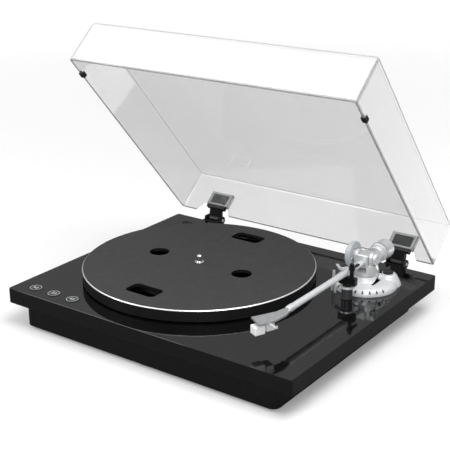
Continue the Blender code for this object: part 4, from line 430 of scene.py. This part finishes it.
def closed_mesh(name, points, faces, merge_mm=0.0):
    """A mesh from an array of points and a list of faces, turned outwards once doubles are merged."""
    mesh = bpy.data.meshes.new(name)
    mesh.from_pydata(points.reshape(-1, 3).tolist(), [], faces)
    work = bmesh.new()
    work.from_mesh(mesh)
    if merge_mm:
        bmesh.ops.remove_doubles(work, verts=work.verts, dist=merge_mm * MM)
    bmesh.ops.recalc_face_normals(work, faces=work.faces)
    work.to_mesh(mesh)
    work.free()
    return mesh


def shown_mesh(obj):
    """The mesh that an object shows once its modifiers have run."""
    bpy.context.view_layer.update()
    return bpy.data.meshes.new_from_object(obj.evaluated_get(bpy.context.evaluated_depsgraph_get()))


def piece(name, mesh, material, body, stands_for=()):
    """Puts a finished mesh in the scene, on the body that it rides on."""
    obj = bpy.data.objects.new(name, mesh)
    bpy.context.scene.collection.objects.link(obj)
    dress(obj, material)
    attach(obj, body)
    if stands_for:
        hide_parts(*stands_for)
    return obj


def refined_mesh(node):
    """A copy of the CAD piece's mesh with its doubles merged, flat faces joined and round ones smooth."""
    mesh = nodes[node].data.copy()
    work = bmesh.new()
    work.from_mesh(mesh)
    bmesh.ops.remove_doubles(work, verts=work.verts, dist=0.002 * MM)
    bmesh.ops.dissolve_limit(work, angle_limit=radians(0.5), verts=work.verts, edges=work.edges)
    work.to_mesh(mesh)
    work.free()
    smooth(mesh)
    return mesh


def refined(node, edge_mm):
    """The merged copy stands for the CAD piece, with softened edges."""
    mesh = refined_mesh(node)
    material = SPECIAL.get(node, SLOTS[SLOT_OF[node]])
    obj = piece(node + "_finished", mesh, material, HOME[node], (node,))
    rounding = obj.modifiers.new("softened_edges", "BEVEL")
    rounding.width = edge_mm * MM
    rounding.segments = 2
    rounding.limit_method = "ANGLE"
    rounding.angle_limit = radians(ROUND_OVER)
    rounding.harden_normals = True
    return obj


def skin(name, points, loop=False):
    """A closed mesh over a grid of points, in which each row goes once round the piece.

    Neighbouring rows are joined by four-sided faces. The first and last row close on their middle
    point, or on each other where the rows make a loop.
    """
    if not loop:
        first = np.broadcast_to(points[:1].mean(axis=1, keepdims=True), points[:1].shape)
        last = np.broadcast_to(points[-1:].mean(axis=1, keepdims=True), points[:1].shape)
        points = np.concatenate([first, points, last])
    rows, columns = points.shape[:2]
    number = np.arange(rows * columns).reshape(rows, columns)
    beside = np.roll(number, -1, axis=1)
    if loop:
        faces = np.stack([number, beside, np.roll(beside, -1, axis=0), np.roll(number, -1, axis=0)], axis=-1)
    else:
        faces = np.stack([number[:-1], beside[:-1], beside[1:], number[1:]], axis=-1)
    mesh = closed_mesh(name, points, faces.reshape(-1, 4).tolist(), merge_mm=0.0005)
    smooth(mesh)
    return mesh


def turned(name, profile, place=(0.0, 0.0, 0.0), along="z", columns=96, bored=False):
    """A lathe shape: the profile of (radius, height) pairs in mm, carried round an axis through place.

    Each point goes to (radius cos a, radius sin a, height), with the axis laid along x, y or z. A bored
    shape has a profile that runs back to its start inside, so the middle stays open.
    """
    profile = np.array(profile) * MM
    angles = np.linspace(0, 2 * pi, columns, endpoint=False)
    ring = profile[:, 0, None] * np.stack([np.cos(angles), np.sin(angles)])[:, None, :]
    height = np.broadcast_to(profile[:, 1, None], ring[0].shape)
    laid = {
        "x": (height, ring[0], ring[1]),
        "y": (ring[1], height, ring[0]),
        "z": (ring[0], ring[1], height),
    }
    return skin(name, np.stack(laid[along], axis=-1) + np.array(place), loop=bored)


def solid_box(name, low, high):
    """A box between two corners, as four rows of a grid."""
    low, high = np.array(low), np.array(high)
    square = np.array([(0, 0), (1, 0), (1, 1), (0, 1)], float)
    rows = [np.column_stack([square, np.full(4, level)]) for level in (0.0, 1.0)]
    return skin(name, low + np.stack(rows) * (high - low))


def cut_out(obj, tools, material):
    """Takes the tool meshes away from the piece. The cut faces get the tools' material."""
    for tool in tools:
        cutter = bpy.data.objects.new("cutter", tool)
        bpy.context.scene.collection.objects.link(cutter)
        dress(cutter, material)
        cut = obj.modifiers.new("cut", "BOOLEAN")
        cut.operation = "DIFFERENCE"
        cut.solver = "EXACT"
        cut.material_mode = "TRANSFER"
        cut.object = cutter
        result = shown_mesh(obj)
        obj.modifiers.remove(cut)
        obj.data = result
        bpy.data.objects.remove(cutter)
    smooth(obj.data)


# Plain pieces show their CAD mesh, and the others a finished copy of it.
for row in frame["record"]["subparts"]:
    node = row["node"]
    if node in REFINED or node in ("cue_lever", "headshell_collar"):
        continue
    dress(nodes[node], SPECIAL.get(node, SLOTS[row["material_slot"]]))
    smooth(nodes[node].data)
made = {node: refined(node, edge_mm) for node, edge_mm in REFINED.items()}

platter_low, platter_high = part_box("platter")
platter_mid = (platter_low + platter_high) / 2
platter_radius = (platter_high.x - platter_low.x) / 2
BRIGHT_EDGE_WIDTH = 1.6 * MM
# How far a face of the platter looks up: more than the first on its top, and between the others on its edge.
TOP_OVER = 0.2
EDGE_FROM, EDGE_TO = 0.1, 0.98
# Where the black tip of the lift's bar starts, in degrees, and the post's collar, in mm over the deck.
LIFT_TIP_FROM = 38.0
POST_COLLAR_FROM = 14.4


def from_spindle(point):
    """How far a point is from the spindle's axis."""
    return ((point.x - platter_mid.x) ** 2 + (point.y - platter_mid.y) ** 2) ** 0.5


def round_arm(point):
    """The angle of a point round the arm's axis, in degrees from the front towards the left."""
    return degrees(atan2(ARM_AXIS[0] - point.x, ARM_AXIS[1] - point.y))


# The platter's side and underside are blacker than its top, and its upper edge is bare metal.
paint(made["platter"], ENAMEL_SIDE, lambda c, n: n.z <= TOP_OVER)
paint(
    made["platter"],
    BRIGHT_EDGE,
    lambda c, n: from_spindle(c) > platter_radius - BRIGHT_EDGE_WIDTH and EDGE_FROM < n.z < EDGE_TO,
)
# The lift's bar ends in a black tip, and the post's collar is plated.
paint(made["lift_platform"], SMALL_PLASTIC, lambda c, n: round_arm(c) > LIFT_TIP_FROM)
paint(made["arm_rest_post"], CHROME, lambda c, n: c.z > DECK_TOP + POST_COLLAR_FROM * MM)

# Arm base, in mm from where the arm's axis meets the deck.
DOME_HEIGHT, DOME_FROM, DOME_WIDTH, DOME_POWER = 10.6, 24.0, 16.8, 2.6
BASE_REACH = DOME_FROM + DOME_WIDTH
FLARE_HEIGHT, FLARE_WIDTH, FLARE_POWER = 5.6, 6.0, 3.2
DRUM_RADIUS, DRUM_EDGE_WIDTH, DRUM_EDGE_DROP = 18.0, 0.5, 0.3
HILL = (22.0, 19.0)
HILL_RADII = (0.0, 8.0, 8.8, 9.5, 10.0, 10.8, 11.5, 13.75, 15.75, 16.6, 17.0)
HILL_HEIGHTS = (15.0, 15.0, 14.9, 14.5, 14.0, 13.1, 12.1, 8.0, 4.0, 1.7, 0.0)
HILL_FOOT = HILL_RADII[-1]
BASE_FOOT = 0.3
OVER_BASE = 24.0
# Its grid: points round a ring, the radii of the drum's rings, and rings over the flare and the dome.
BASE_COLUMNS = 200
DRUM_RINGS = (5.0, 12.0, 17.4)
FLARE_RINGS_FROM, FLARE_RINGS, DOME_RINGS = 17.6, 20, 56
# Where the arm lift stands: how far from the arm's axis, and its angle from the front in degrees.
LIFT_REACH, LIFT_ANGLE = 35.5, 17.0
# Cue lever: the line that its shaft turns on, the rod's place along it, and its lean in degrees.
LEVER_Y, LEVER_Z = -0.3, 13.7
LEVER_X = 19.7
LEVER_LEAN = 23.6


def from_arm(x, y, z):
    """Where a point is that lies so many mm from where the arm's axis meets the deck."""
    return ARM_AXIS + np.array((x, y, z)) * MM


def base_height(x, y):
    """Height in mm of the arm base over the deck, at x, y in mm from the arm's axis.

    With r the distance from that axis, the surface is put together from four forms:
    dome: its height times (1 - u^p)^(1/p), p its power, u = (r - where it starts) / its width, from 0 to 1
    flare: its height times ((where the dome starts - r) / its width)^its power, up to the drum's flat top
    drum: its top edge drops as the square of the way across that edge
    hill: read from its profile by the distance from its own middle
    The dome and the hill are blended by adding their twelfth powers.
    """
    r = np.hypot(x, y)
    u = np.clip((r - DOME_FROM) / DOME_WIDTH, 0.0, 1.0)
    dome = DOME_HEIGHT * (1 - u**DOME_POWER) ** (1 / DOME_POWER)
    dome = dome + FLARE_HEIGHT * np.clip((DOME_FROM - r) / FLARE_WIDTH, 0.0, 1.0) ** FLARE_POWER
    edge = np.clip((r - (DRUM_RADIUS - DRUM_EDGE_WIDTH)) / DRUM_EDGE_WIDTH, 0.0, 1.0)
    dome = dome - edge**2 * DRUM_EDGE_DROP * (r < DRUM_RADIUS)
    far = np.hypot(x - HILL[0], y - HILL[1])
    hill = np.interp(far, HILL_RADII, HILL_HEIGHTS)
    return (dome**12 + hill**12) ** (1 / 12)


def base_reach(angles):
    """How far the base reaches in mm at each angle: the larger of the dome's foot and the hill's foot.

    The hill's foot is met at c.e + sqrt(f^2 - (c x e)^2), with c its middle, f the radius of its foot and
    e the direction. The two are blended by adding their twenty-fourth powers.
    """
    along = HILL[0] * np.cos(angles) + HILL[1] * np.sin(angles)
    across = HILL[0] * np.sin(angles) - HILL[1] * np.cos(angles)
    met = along + np.sqrt(np.clip(HILL_FOOT**2 - across**2, 0.0, None))
    hill = np.where(abs(across) < HILL_FOOT, met, 0.0)
    return (BASE_REACH**24 + np.clip(hill, 0.0, None) ** 24) ** (1 / 24)


def make_arm_base():
    """The silver base of the arm: a drum on a dome, with a hill for the anti-skate knob at its side.

    The grid's rows are rings round the arm's axis: evenly spread over the flare, then easing out to the
    base's reach, so that they lie close where the skirt is steep. Slot, bore and wells are cut out.
    """
    angles = np.linspace(0, 2 * pi, BASE_COLUMNS, endpoint=False)
    reach = base_reach(angles)
    inner = np.concatenate([DRUM_RINGS, np.linspace(FLARE_RINGS_FROM, DOME_FROM, FLARE_RINGS)])
    ease = 1 - (1 - np.linspace(0, 1, DOME_RINGS)[1:]) ** DOME_POWER
    outer = DOME_FROM + ease[:, None] * (reach - DOME_FROM)
    radius = np.concatenate([np.repeat(inner[:, None], BASE_COLUMNS, axis=1), outer])
    x, y = radius * np.cos(angles), radius * np.sin(angles)
    height = np.maximum(base_height(x, y), BASE_FOOT)
    height[-1] = BASE_FOOT
    top = np.stack([x, y, height], axis=-1)
    under = top[:1] * (1, 1, 0) + (0, 0, BASE_FOOT)
    points = np.concatenate([under, top]) * MM + ARM_AXIS
    mesh = skin("arm_base", points, loop=True)
    obj = piece("arm_base", mesh, PEARL, "deck_body", ("tonearm_base",))
    lean = radians(LIFT_ANGLE)
    lift = from_arm(-LIFT_REACH * sin(lean), -LIFT_REACH * cos(lean), 0.0)
    tools = (
        solid_box("lever_slot", from_arm(18.1, -18.0, 8.4), from_arm(21.2, 2.2, OVER_BASE)),
        turned("shaft_bore", [(1.2, 13.0), (1.2, 19.0)], from_arm(0.0, LEVER_Y, LEVER_Z), "x", 24),
        turned("lift_well", [(4.0, 3.0), (4.0, OVER_BASE)], lift, "z", 48),
        turned("stem_bore", [(2.3, 8.0), (2.3, OVER_BASE)], from_arm(*HILL, 0.0), "z", 24),
    )
    cut_out(obj, tools, SMALL_PLASTIC)


def leaning(mesh):
    """Turns a rod built upright back by the lever's lean, and puts it on the lever's axis."""
    place = Vector(from_arm(LEVER_X, LEVER_Y, LEVER_Z))
    mesh.transform(Matrix.Translation(place) @ Matrix.Rotation(-radians(LEVER_LEAN), 4, "X"))
    return mesh


def make_cue_lever():
    """A thin plated rod with a black grip, on a short barrel in the slot."""
    rod = leaning(turned("lever_rod", [(0.95, 0.0), (0.95, 7.4)], columns=32))
    piece("cue_rod", rod, BRIGHT_CHROME, "cue_body", ("cue_lever",))
    profile = [(1.0, 6.2), (1.5, 6.5), (1.7, 7.2), (1.7, 11.2), (1.4, 11.7), (0.7, 11.8)]
    grip = leaning(turned("lever_grip", profile, columns=32))
    piece("cue_grip", grip, SMALL_PLASTIC, "cue_body")
    profile = [(0.9, 14.2), (0.9, 18.8), (1.6, 18.9), (1.6, 20.6)]
    barrel = turned("lever_barrel", profile, from_arm(0.0, LEVER_Y, LEVER_Z), "x", 32)
    piece("cue_barrel", barrel, STEEL, "cue_body")


# Arches round the skirt of the base: how many, the first one's angle and the step, in degrees.
ARCHES, ARCHES_FROM, ARCH_STEP = 18, -27.0, -12.9
# Height over the deck at which an arch starts, its own height and half its width, in mm.
ARCH_FOOT, ARCH_HEIGHT, ARCH_HALF_WIDTH = 4.2, 3.5, 1.25
# Its outer face stands off the dome by the first, and its inner face is sunk by the second, in mm.
ARCH_FACES = (0.05, -0.3)


def make_skirt_marks():
    """Small round-topped arches round the foot of the base, laid just off the dome.

    At the angle t up an arch, its height is the arch's own times sin t, and its width is cos(t)^0.6. A
    point lies at the dome's radius at that height, which is the dome's formula turned round.
    """
    across, climb = np.meshgrid(np.linspace(-1, 1, 7), np.radians(np.linspace(0, 80, 7)))
    height = ARCH_FOOT + ARCH_HEIGHT * np.sin(climb)
    dome = DOME_FROM + DOME_WIDTH * (1 - (height / DOME_HEIGHT) ** DOME_POWER) ** (1 / DOME_POWER)
    at = np.radians(ARCHES_FROM + ARCH_STEP * np.arange(ARCHES))[:, None, None, None]
    turn = at + ARCH_HALF_WIDTH * across * np.cos(climb) ** 0.6 / dome
    radius = dome + np.array(ARCH_FACES)[:, None, None]
    grid = np.broadcast_arrays(radius * np.cos(turn), radius * np.sin(turn), height)
    size = across.size
    number = np.arange(size).reshape(across.shape)
    front = np.stack([number[:-1, :-1], number[:-1, 1:], number[1:, 1:], number[1:, :-1]], axis=-1)
    front = front.reshape(-1, 4)
    border = np.concatenate([number[0], number[1:, -1], number[-1, -2::-1], number[-2:0:-1, 0]])
    after = np.roll(border, -1)
    sides = np.stack([border, border + size, after + size, after], axis=-1)
    arch = np.concatenate([front, front[:, ::-1] + size, sides])
    faces = (np.arange(ARCHES)[:, None, None] * 2 * size + arch).reshape(-1, 4).tolist()
    mesh = closed_mesh("skirt_marks", np.stack(grid, axis=-1) * MM + ARM_AXIS, faces)
    piece("skirt_marks", mesh, INK_AND_GROOVE_SHADE, "deck_body")


def make_collar():
    """The slim nut between the tube and the headshell, bored for both and closed round the neck."""
    low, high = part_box("headshell_collar")
    rear, front = high.y / MM, low.y / MM
    outside = [(4.1, rear), (4.3, rear - 0.2), (4.35, rear - 5.0), (4.1, rear - 5.3), (4.1, front)]
    lip = [(3.7, front - 0.7), (3.0, front - 1.2), (2.56, front - 1.2)]
    bore = [(2.56, front - 0.6), (4.0, front - 0.6), (4.0, rear)]
    axis = ((low.x + high.x) / 2, 0.0, (low.z + high.z) / 2)
    mesh = turned("collar", outside + lip + bore, axis, "y", 64, bored=True)
    piece("collar_finished", mesh, CHROME, "collar_body", ("headshell_collar",))


# How far the finger lift is shown under its CAD place.
FINGER_LIFT_DROP = 3.1 * MM


def make_finger_lift():
    """The thin lift bar, fixed under the headshell, so that only its free end shows."""
    mesh = refined_mesh("finger_lift")
    mesh.transform(Matrix.Translation((0.0, 0.0, -FINGER_LIFT_DROP)))
    piece("finger_lift_finished", mesh, SATIN, "arm_body", ("finger_lift",))


def stood_up(points):
    """Takes points of the shut cover, measured from its hinge, to where they are with the cover open."""
    turn = radians(COVER_OPEN)
    y = points[..., 1] * cos(turn) + points[..., 2] * sin(turn)
    z = points[..., 2] * cos(turn) - points[..., 1] * sin(turn)
    return np.stack([points[..., 0], y, z], axis=-1) + COVER_HINGE


# Border of a hinge pocket: (how far in from the pocket's outline, how far off its face), in mm. Its foot
# and top are narrower than its sides.
BORDER_PROFILE = ((4.4, -0.4), (0.9, -0.4), (0.9, -0.05), (4.4, -0.05))
BORDER_FOOT_SHARE = 0.7


def make_pocket_frames():
    """The thick clear border of each hinge pocket: a flat frame on the pocket's inner face."""
    for node, side in (("hinge_pocket_left", -1), ("hinge_pocket_right", 1)):
        low, high = laid_flat(node)
        rows = []
        for inset, off in BORDER_PROFILE:
            left, right = low[0] + inset * MM, high[0] - inset * MM
            foot = low[2] + inset * BORDER_FOOT_SHARE * MM
            top = high[2] - inset * BORDER_FOOT_SHARE * MM
            depth = low[1] + off * MM
            rows.append([(left, depth, foot), (right, depth, foot), (right, depth, top), (left, depth, top)])
        frame_mesh = skin("pocket_border", stood_up(np.array(rows) * (side, 1, 1)), loop=True)
        piece(node + "_border", frame_mesh, BORDER_ACRYLIC, "cover_body")


# Bearing disc: its screws stand on a ring round its middle, at these degrees.
DISC_MIDDLE = (-15.0, 0.0, 38.0)
DISC_SCREWS = (100.0, 200.0, 320.0)
DISC_SCREW_RING = 9.6


def make_disc_details():
    """Three screws on the inner face of the large bearing disc."""
    profile = [(0.9, -0.4), (1.5, -0.4), (1.5, 0.5), (1.3, 0.8), (0.5, 0.95)]
    x, y, z = DISC_MIDDLE
    for number, at in enumerate(np.radians(DISC_SCREWS)):
        place = from_arm(x, y + DISC_SCREW_RING * cos(at), z + DISC_SCREW_RING * sin(at))
        mesh = turned("disc_screw", profile, place, "x", 24)
        piece(f"disc_screw_{number}", mesh, BRIGHT_CHROME, "turret_body")


# Counterweight: the height of its line over the deck, and its grooves' places along it, in mm.
WEIGHT_LINE = 33.0
GROOVES = (34.2, 37.4)
GROOVE_RADIUS, GROOVE_WIDTH, GROOVE_DEPTH = 12.35, 0.45, 0.5
# Force dial: a cone that grows over its length. Ticks are given along it, off it and half across it.
DIAL_FROM, DIAL_LENGTH, DIAL_SMALL, DIAL_GROWTH = 23.6, 6.2, 9.2, 1.8
TICKS, TICK_ENDS, TICK_FACES, TICK_HALF_TURN = 20, (24.4, 27.4), (-0.25, 0.05), 0.018


def make_weight_rings():
    """Painted shade for the gaps round the counterweight: each a thin dark square ring."""
    outer, inner = GROOVE_RADIUS, GROOVE_RADIUS - GROOVE_DEPTH
    for number, start in enumerate(GROOVES):
        end = start + GROOVE_WIDTH
        profile = [(inner, start), (outer, start), (outer, end), (inner, end)]
        mesh = turned("painted_groove_shade", profile, from_arm(0.0, 0.0, WEIGHT_LINE), "y", bored=True)
        # Painted shade: a dark ring stands where the groove's shade falls.
        piece(f"painted_groove_shade_{number}", mesh, INK_AND_GROOVE_SHADE, "counterweight_body")


def make_dial_marks():
    """Short ticks along the cone of the force dial, each a thin box turned about the arm's line.

    A tick's corners are (r sin a, y, r cos a), with a its place round the dial, and r the dial's own
    radius there plus or minus a hair.
    """
    at = np.linspace(0, 2 * pi, TICKS, endpoint=False)[:, None, None, None]
    side = np.array((-1.0, 1.0))[None, :, None, None] * TICK_HALF_TURN
    along = np.array(TICK_ENDS)[None, None, :, None]
    out = np.array(TICK_FACES)[None, None, None, :]
    radius = DIAL_SMALL + (along - DIAL_FROM) / DIAL_LENGTH * DIAL_GROWTH + out
    turn = at + side
    grid = np.broadcast_arrays(radius * np.sin(turn), along, radius * np.cos(turn))
    points = np.stack(grid, axis=-1) * MM + from_arm(0.0, 0.0, WEIGHT_LINE)
    corner = np.array([(0, 1, 3, 2), (4, 6, 7, 5), (0, 4, 5, 1), (2, 3, 7, 6), (0, 2, 6, 4), (1, 5, 7, 3)])
    faces = (np.arange(TICKS)[:, None, None] * 8 + corner).reshape(-1, 4).tolist()
    piece("dial_marks", closed_mesh("dial_marks", points, faces), INK_AND_GROOVE_SHADE, "dial_body")


# Buttons, in mm from the middle of the top: the ring's profile, the digits and the start mark, whose faces
# lie under and over the button's top.
BUTTON_RING = [(6.75, -0.1), (7.55, -0.1), (7.55, 0.04), (6.75, 0.04)]
DIGIT_SIZE, DIGIT_RISE = 8.2, 0.06
START_ARROW = [(-3.3, -2.5), (0.7, 0.0), (-3.3, 2.5)]
START_BAR = [(1.6, -2.5), (3.0, -2.5), (3.0, 2.5), (1.6, 2.5)]
START_FACES = (-0.1, 0.06)


def make_digits(words):
    """The digits of a speed, as a thin raised mesh round the origin."""
    data = bpy.data.curves.new("digits", "FONT")
    data.body = words
    data.size = DIGIT_SIZE * MM
    data.align_x = data.align_y = "CENTER"
    data.extrude = DIGIT_RISE * MM
    holder = bpy.data.objects.new("digits", data)
    bpy.context.scene.collection.objects.link(holder)
    mesh = shown_mesh(holder)
    bpy.data.objects.remove(holder)
    return mesh


def make_start_mark():
    """A triangle and a bar, each a thin block between two copies of its outline."""
    outline = np.array(START_ARROW + START_BAR)
    count = len(outline)
    points = np.concatenate([np.column_stack([outline, np.full(count, z)]) for z in START_FACES]) * MM
    faces = [(0, 2, 1), (7, 8, 9), (3, 6, 5, 4), (10, 11, 12, 13)]
    for first, corners in ((0, 3), (3, 4)):
        for corner in range(corners):
            here, after = first + corner, first + (corner + 1) % corners
            faces.append((here, after, after + count, here + count))
    return closed_mesh("start_stop_mark", points, faces)


def make_button_marks():
    """A thin silver ring and a small white mark on each button."""
    for node, words in (("start_stop_button", None), ("speed_33_button", "33"), ("speed_45_button", "45")):
        low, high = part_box(node)
        middle = np.array(((low.x + high.x) / 2, (low.y + high.y) / 2, high.z))
        ring = turned("button_ring", BUTTON_RING, middle, "z", 64, bored=True)
        piece(node + "_ring", ring, RING_METAL, HOME[node])
        mark = make_digits(words) if words else make_start_mark()
        mark.transform(Matrix.Translation(middle))
        piece(node + "_mark", mark, WHITE_INK, HOME[node])


make_arm_base()
make_skirt_marks()
make_cue_lever()
make_collar()
make_finger_lift()
make_pocket_frames()
make_disc_details()
make_weight_rings()
make_dial_marks()
make_button_marks()


# Camera solved from the corners of the plinth and the cover and from the platter's ellipse: its lens and
# sensor in mm, its angles in degrees, and the point that it looks at and how far that is, in mm.
LENS, SENSOR = 83.88, 36.0
CAMERA_AZIMUTH, CAMERA_ELEVATION, CAMERA_ROLL = 35.897, 19.901, -0.292
CAMERA_AIM = (-10.97, -8.325, 118.68)
CAMERA_AWAY = 1325.04


def make_camera():
    """The camera stands in front, to the right, a little above the deck."""
    data = bpy.data.cameras.new("camera")
    data.lens = LENS
    data.sensor_width = SENSOR
    data.clip_end = 20.0
    camera = bpy.data.objects.new("camera", data)
    bpy.context.scene.collection.objects.link(camera)
    azimuth, elevation = radians(CAMERA_AZIMUTH), radians(CAMERA_ELEVATION)
    roll = radians(CAMERA_ROLL)
    back = Vector((sin(azimuth) * cos(elevation), -cos(azimuth) * cos(elevation), sin(elevation)))
    right = Vector((cos(azimuth), sin(azimuth), 0.0))
    up = back.cross(right)
    rolled_right = right * cos(roll) + up * sin(roll)
    rolled_up = up * cos(roll) - right * sin(roll)
    turn = Matrix((rolled_right, rolled_up, back)).transposed()
    place = Vector(CAMERA_AIM) * MM + back * CAMERA_AWAY * MM
    camera.matrix_world = Matrix.Translation(place) @ turn.to_4x4()
    bpy.context.scene.camera = camera


# Floor: half its width in metres, and how it glows where it is seen, by how far it is from the middle.
FLOOR_HALF = 6.0
FLOOR_GLOW_NEAR, FLOOR_GLOW_FAR = 0.12, 0.62
FLOOR_NEAR, FLOOR_FAR = 0.4, 2.6
FLOOR_PAPER = "f0f0f0"
# In a mirror the floor is darker and glows less.
FLOOR_IN_MIRROR = "606060"
FLOOR_MIRRORED = 0.05
# Brightness of the room in a mirror, from the horizon to overhead, by the height of the line of sight.
ROOM_LOW, ROOM_HIGH = 0.28, 1.0
ROOM_FROM, ROOM_TO = 0.25, 0.75
# Light of the room on everything that is no mirror.
ROOM_LIGHT = "b4b4b4"


def sight(tree):
    """Two shares, each 0 or 1: whether the camera or a clear piece looks, and whether a mirror does."""
    rays = add(tree, "ShaderNodeLightPath")
    seen, through = rays.outputs["Is Camera Ray"], rays.outputs["Is Transmission Ray"]
    return add(tree, "ShaderNodeMath", LARGER, i0=seen, i1=through), rays.outputs["Is Glossy Ray"]


def make_floor():
    """A pale floor that keeps the soft shadow, and glows towards its far parts where it is seen."""
    mesh = bpy.data.meshes.new("floor")
    half = FLOOR_HALF
    corners = [(-half, -half, 0), (half, -half, 0), (half, half, 0), (-half, half, 0)]
    mesh.from_pydata(corners, [], [(0, 1, 2, 3)])
    floor = bpy.data.objects.new("floor", mesh)
    bpy.context.scene.collection.objects.link(floor)
    material, tree, shader = surface("pale_floor")
    shader.inputs["Roughness"].default_value = 0.9
    shader.inputs["Specular IOR Level"].default_value = 0.0
    shader.inputs["Emission Color"].default_value = WHITE
    straight, glossy = sight(tree)
    dark = linear(FLOOR_IN_MIRROR)
    paper = add(tree, "ShaderNodeMix", COLOURS, i0=glossy, i6=linear(FLOOR_PAPER), i7=dark)
    tree.links.new(paper.outputs[2], shader.inputs["Base Color"])
    place = add(tree, "ShaderNodeTexCoord").outputs["Object"]
    away = add(tree, "ShaderNodeVectorMath", {"operation": "LENGTH"}, i0=place).outputs["Value"]
    lift = add(
        tree,
        "ShaderNodeMapRange",
        Value=away,
        From_Min=FLOOR_NEAR,
        From_Max=FLOOR_FAR,
        To_Min=FLOOR_GLOW_NEAR,
        To_Max=FLOOR_GLOW_FAR,
    )
    glow = add(tree, "ShaderNodeMath", PRODUCT, i0=straight, i1=lift)
    mirrored = add(tree, "ShaderNodeMath", PRODUCT, i0=glossy, i1=FLOOR_MIRRORED)
    glow = add(tree, "ShaderNodeMath", i0=glow, i1=mirrored)
    tree.links.new(glow.outputs[0], shader.inputs["Emission Strength"])
    mesh.materials.append(material)


def make_room():
    """The world round the scene: white where the camera or a clear piece looks, and a soft grey light.

    A mirror sees it white overhead, and less so towards the horizon, where a studio's room is dim.
    """
    world = bpy.data.worlds.new("studio")
    world.use_nodes = True
    bpy.context.scene.world = world
    tree = world.node_tree
    straight, glossy = sight(tree)
    heading = add(tree, "ShaderNodeSeparateXYZ", Vector=add(tree, "ShaderNodeTexCoord").outputs["Object"])
    height = add(
        tree,
        "ShaderNodeMapRange",
        {"interpolation_type": "SMOOTHSTEP"},
        Value=heading.outputs["Z"],
        From_Min=ROOM_FROM,
        From_Max=ROOM_TO,
        To_Min=ROOM_LOW,
        To_Max=ROOM_HIGH,
    )
    room = add(tree, "ShaderNodeMix", COLOURS, i0=height, i6=BLACK, i7=WHITE).outputs[2]
    light = add(tree, "ShaderNodeMix", COLOURS, i0=glossy, i6=linear(ROOM_LIGHT), i7=room).outputs[2]
    shade = add(tree, "ShaderNodeMix", COLOURS, i0=straight, i6=light, i7=WHITE).outputs[2]
    background = tree.nodes["Background"]
    tree.links.new(shade, background.inputs["Color"])
    background.inputs["Strength"].default_value = 1.0


# Point that the soft lights are turned to, in metres.
LIGHTS_AIM = (0.0, 0.0, 0.08)


def make_light(name, place, size, power):
    """A soft square light of so many metres and watts, turned towards the deck."""
    data = bpy.data.lights.new(name, "AREA")
    data.shape = "RECTANGLE"
    data.size, data.size_y = size
    data.energy = power
    light = bpy.data.objects.new(name, data)
    bpy.context.scene.collection.objects.link(light)
    light.location = place
    light.rotation_euler = (Vector(LIGHTS_AIM) - Vector(place)).to_track_quat("-Z", "Y").to_euler()
    return light


def make_strip(name, place, size, power, turn):
    """A narrow card that only gloss shows, for the light that lies on a face of the cover."""
    light = make_light(name, place, size, power)
    light.rotation_euler = turn
    light.visible_camera = light.visible_diffuse = light.visible_transmission = False


make_camera()
make_floor()
make_room()
make_light("key_softbox", (0.55, -0.15, 1.6), (1.1, 1.0), 18.0)
make_light("front_left_softbox", (-1.2, -1.3, 1.1), (0.9, 0.9), 10.0)
make_light("front_right_softbox", (1.1, -1.5, 0.9), (0.8, 0.8), 10.0)
make_strip("cover_front_strip", (-0.285, -0.085, 0.7), (0.68, 0.1), 1.0, (0.0, 0.0, 0.0))
make_strip("cover_side_strip", (0.655, 0.93, 0.012), (1.5, 0.16), 2.0, (pi, 0.0, radians(58)))
bpy.context.scene.view_settings.view_transform = "Standard"
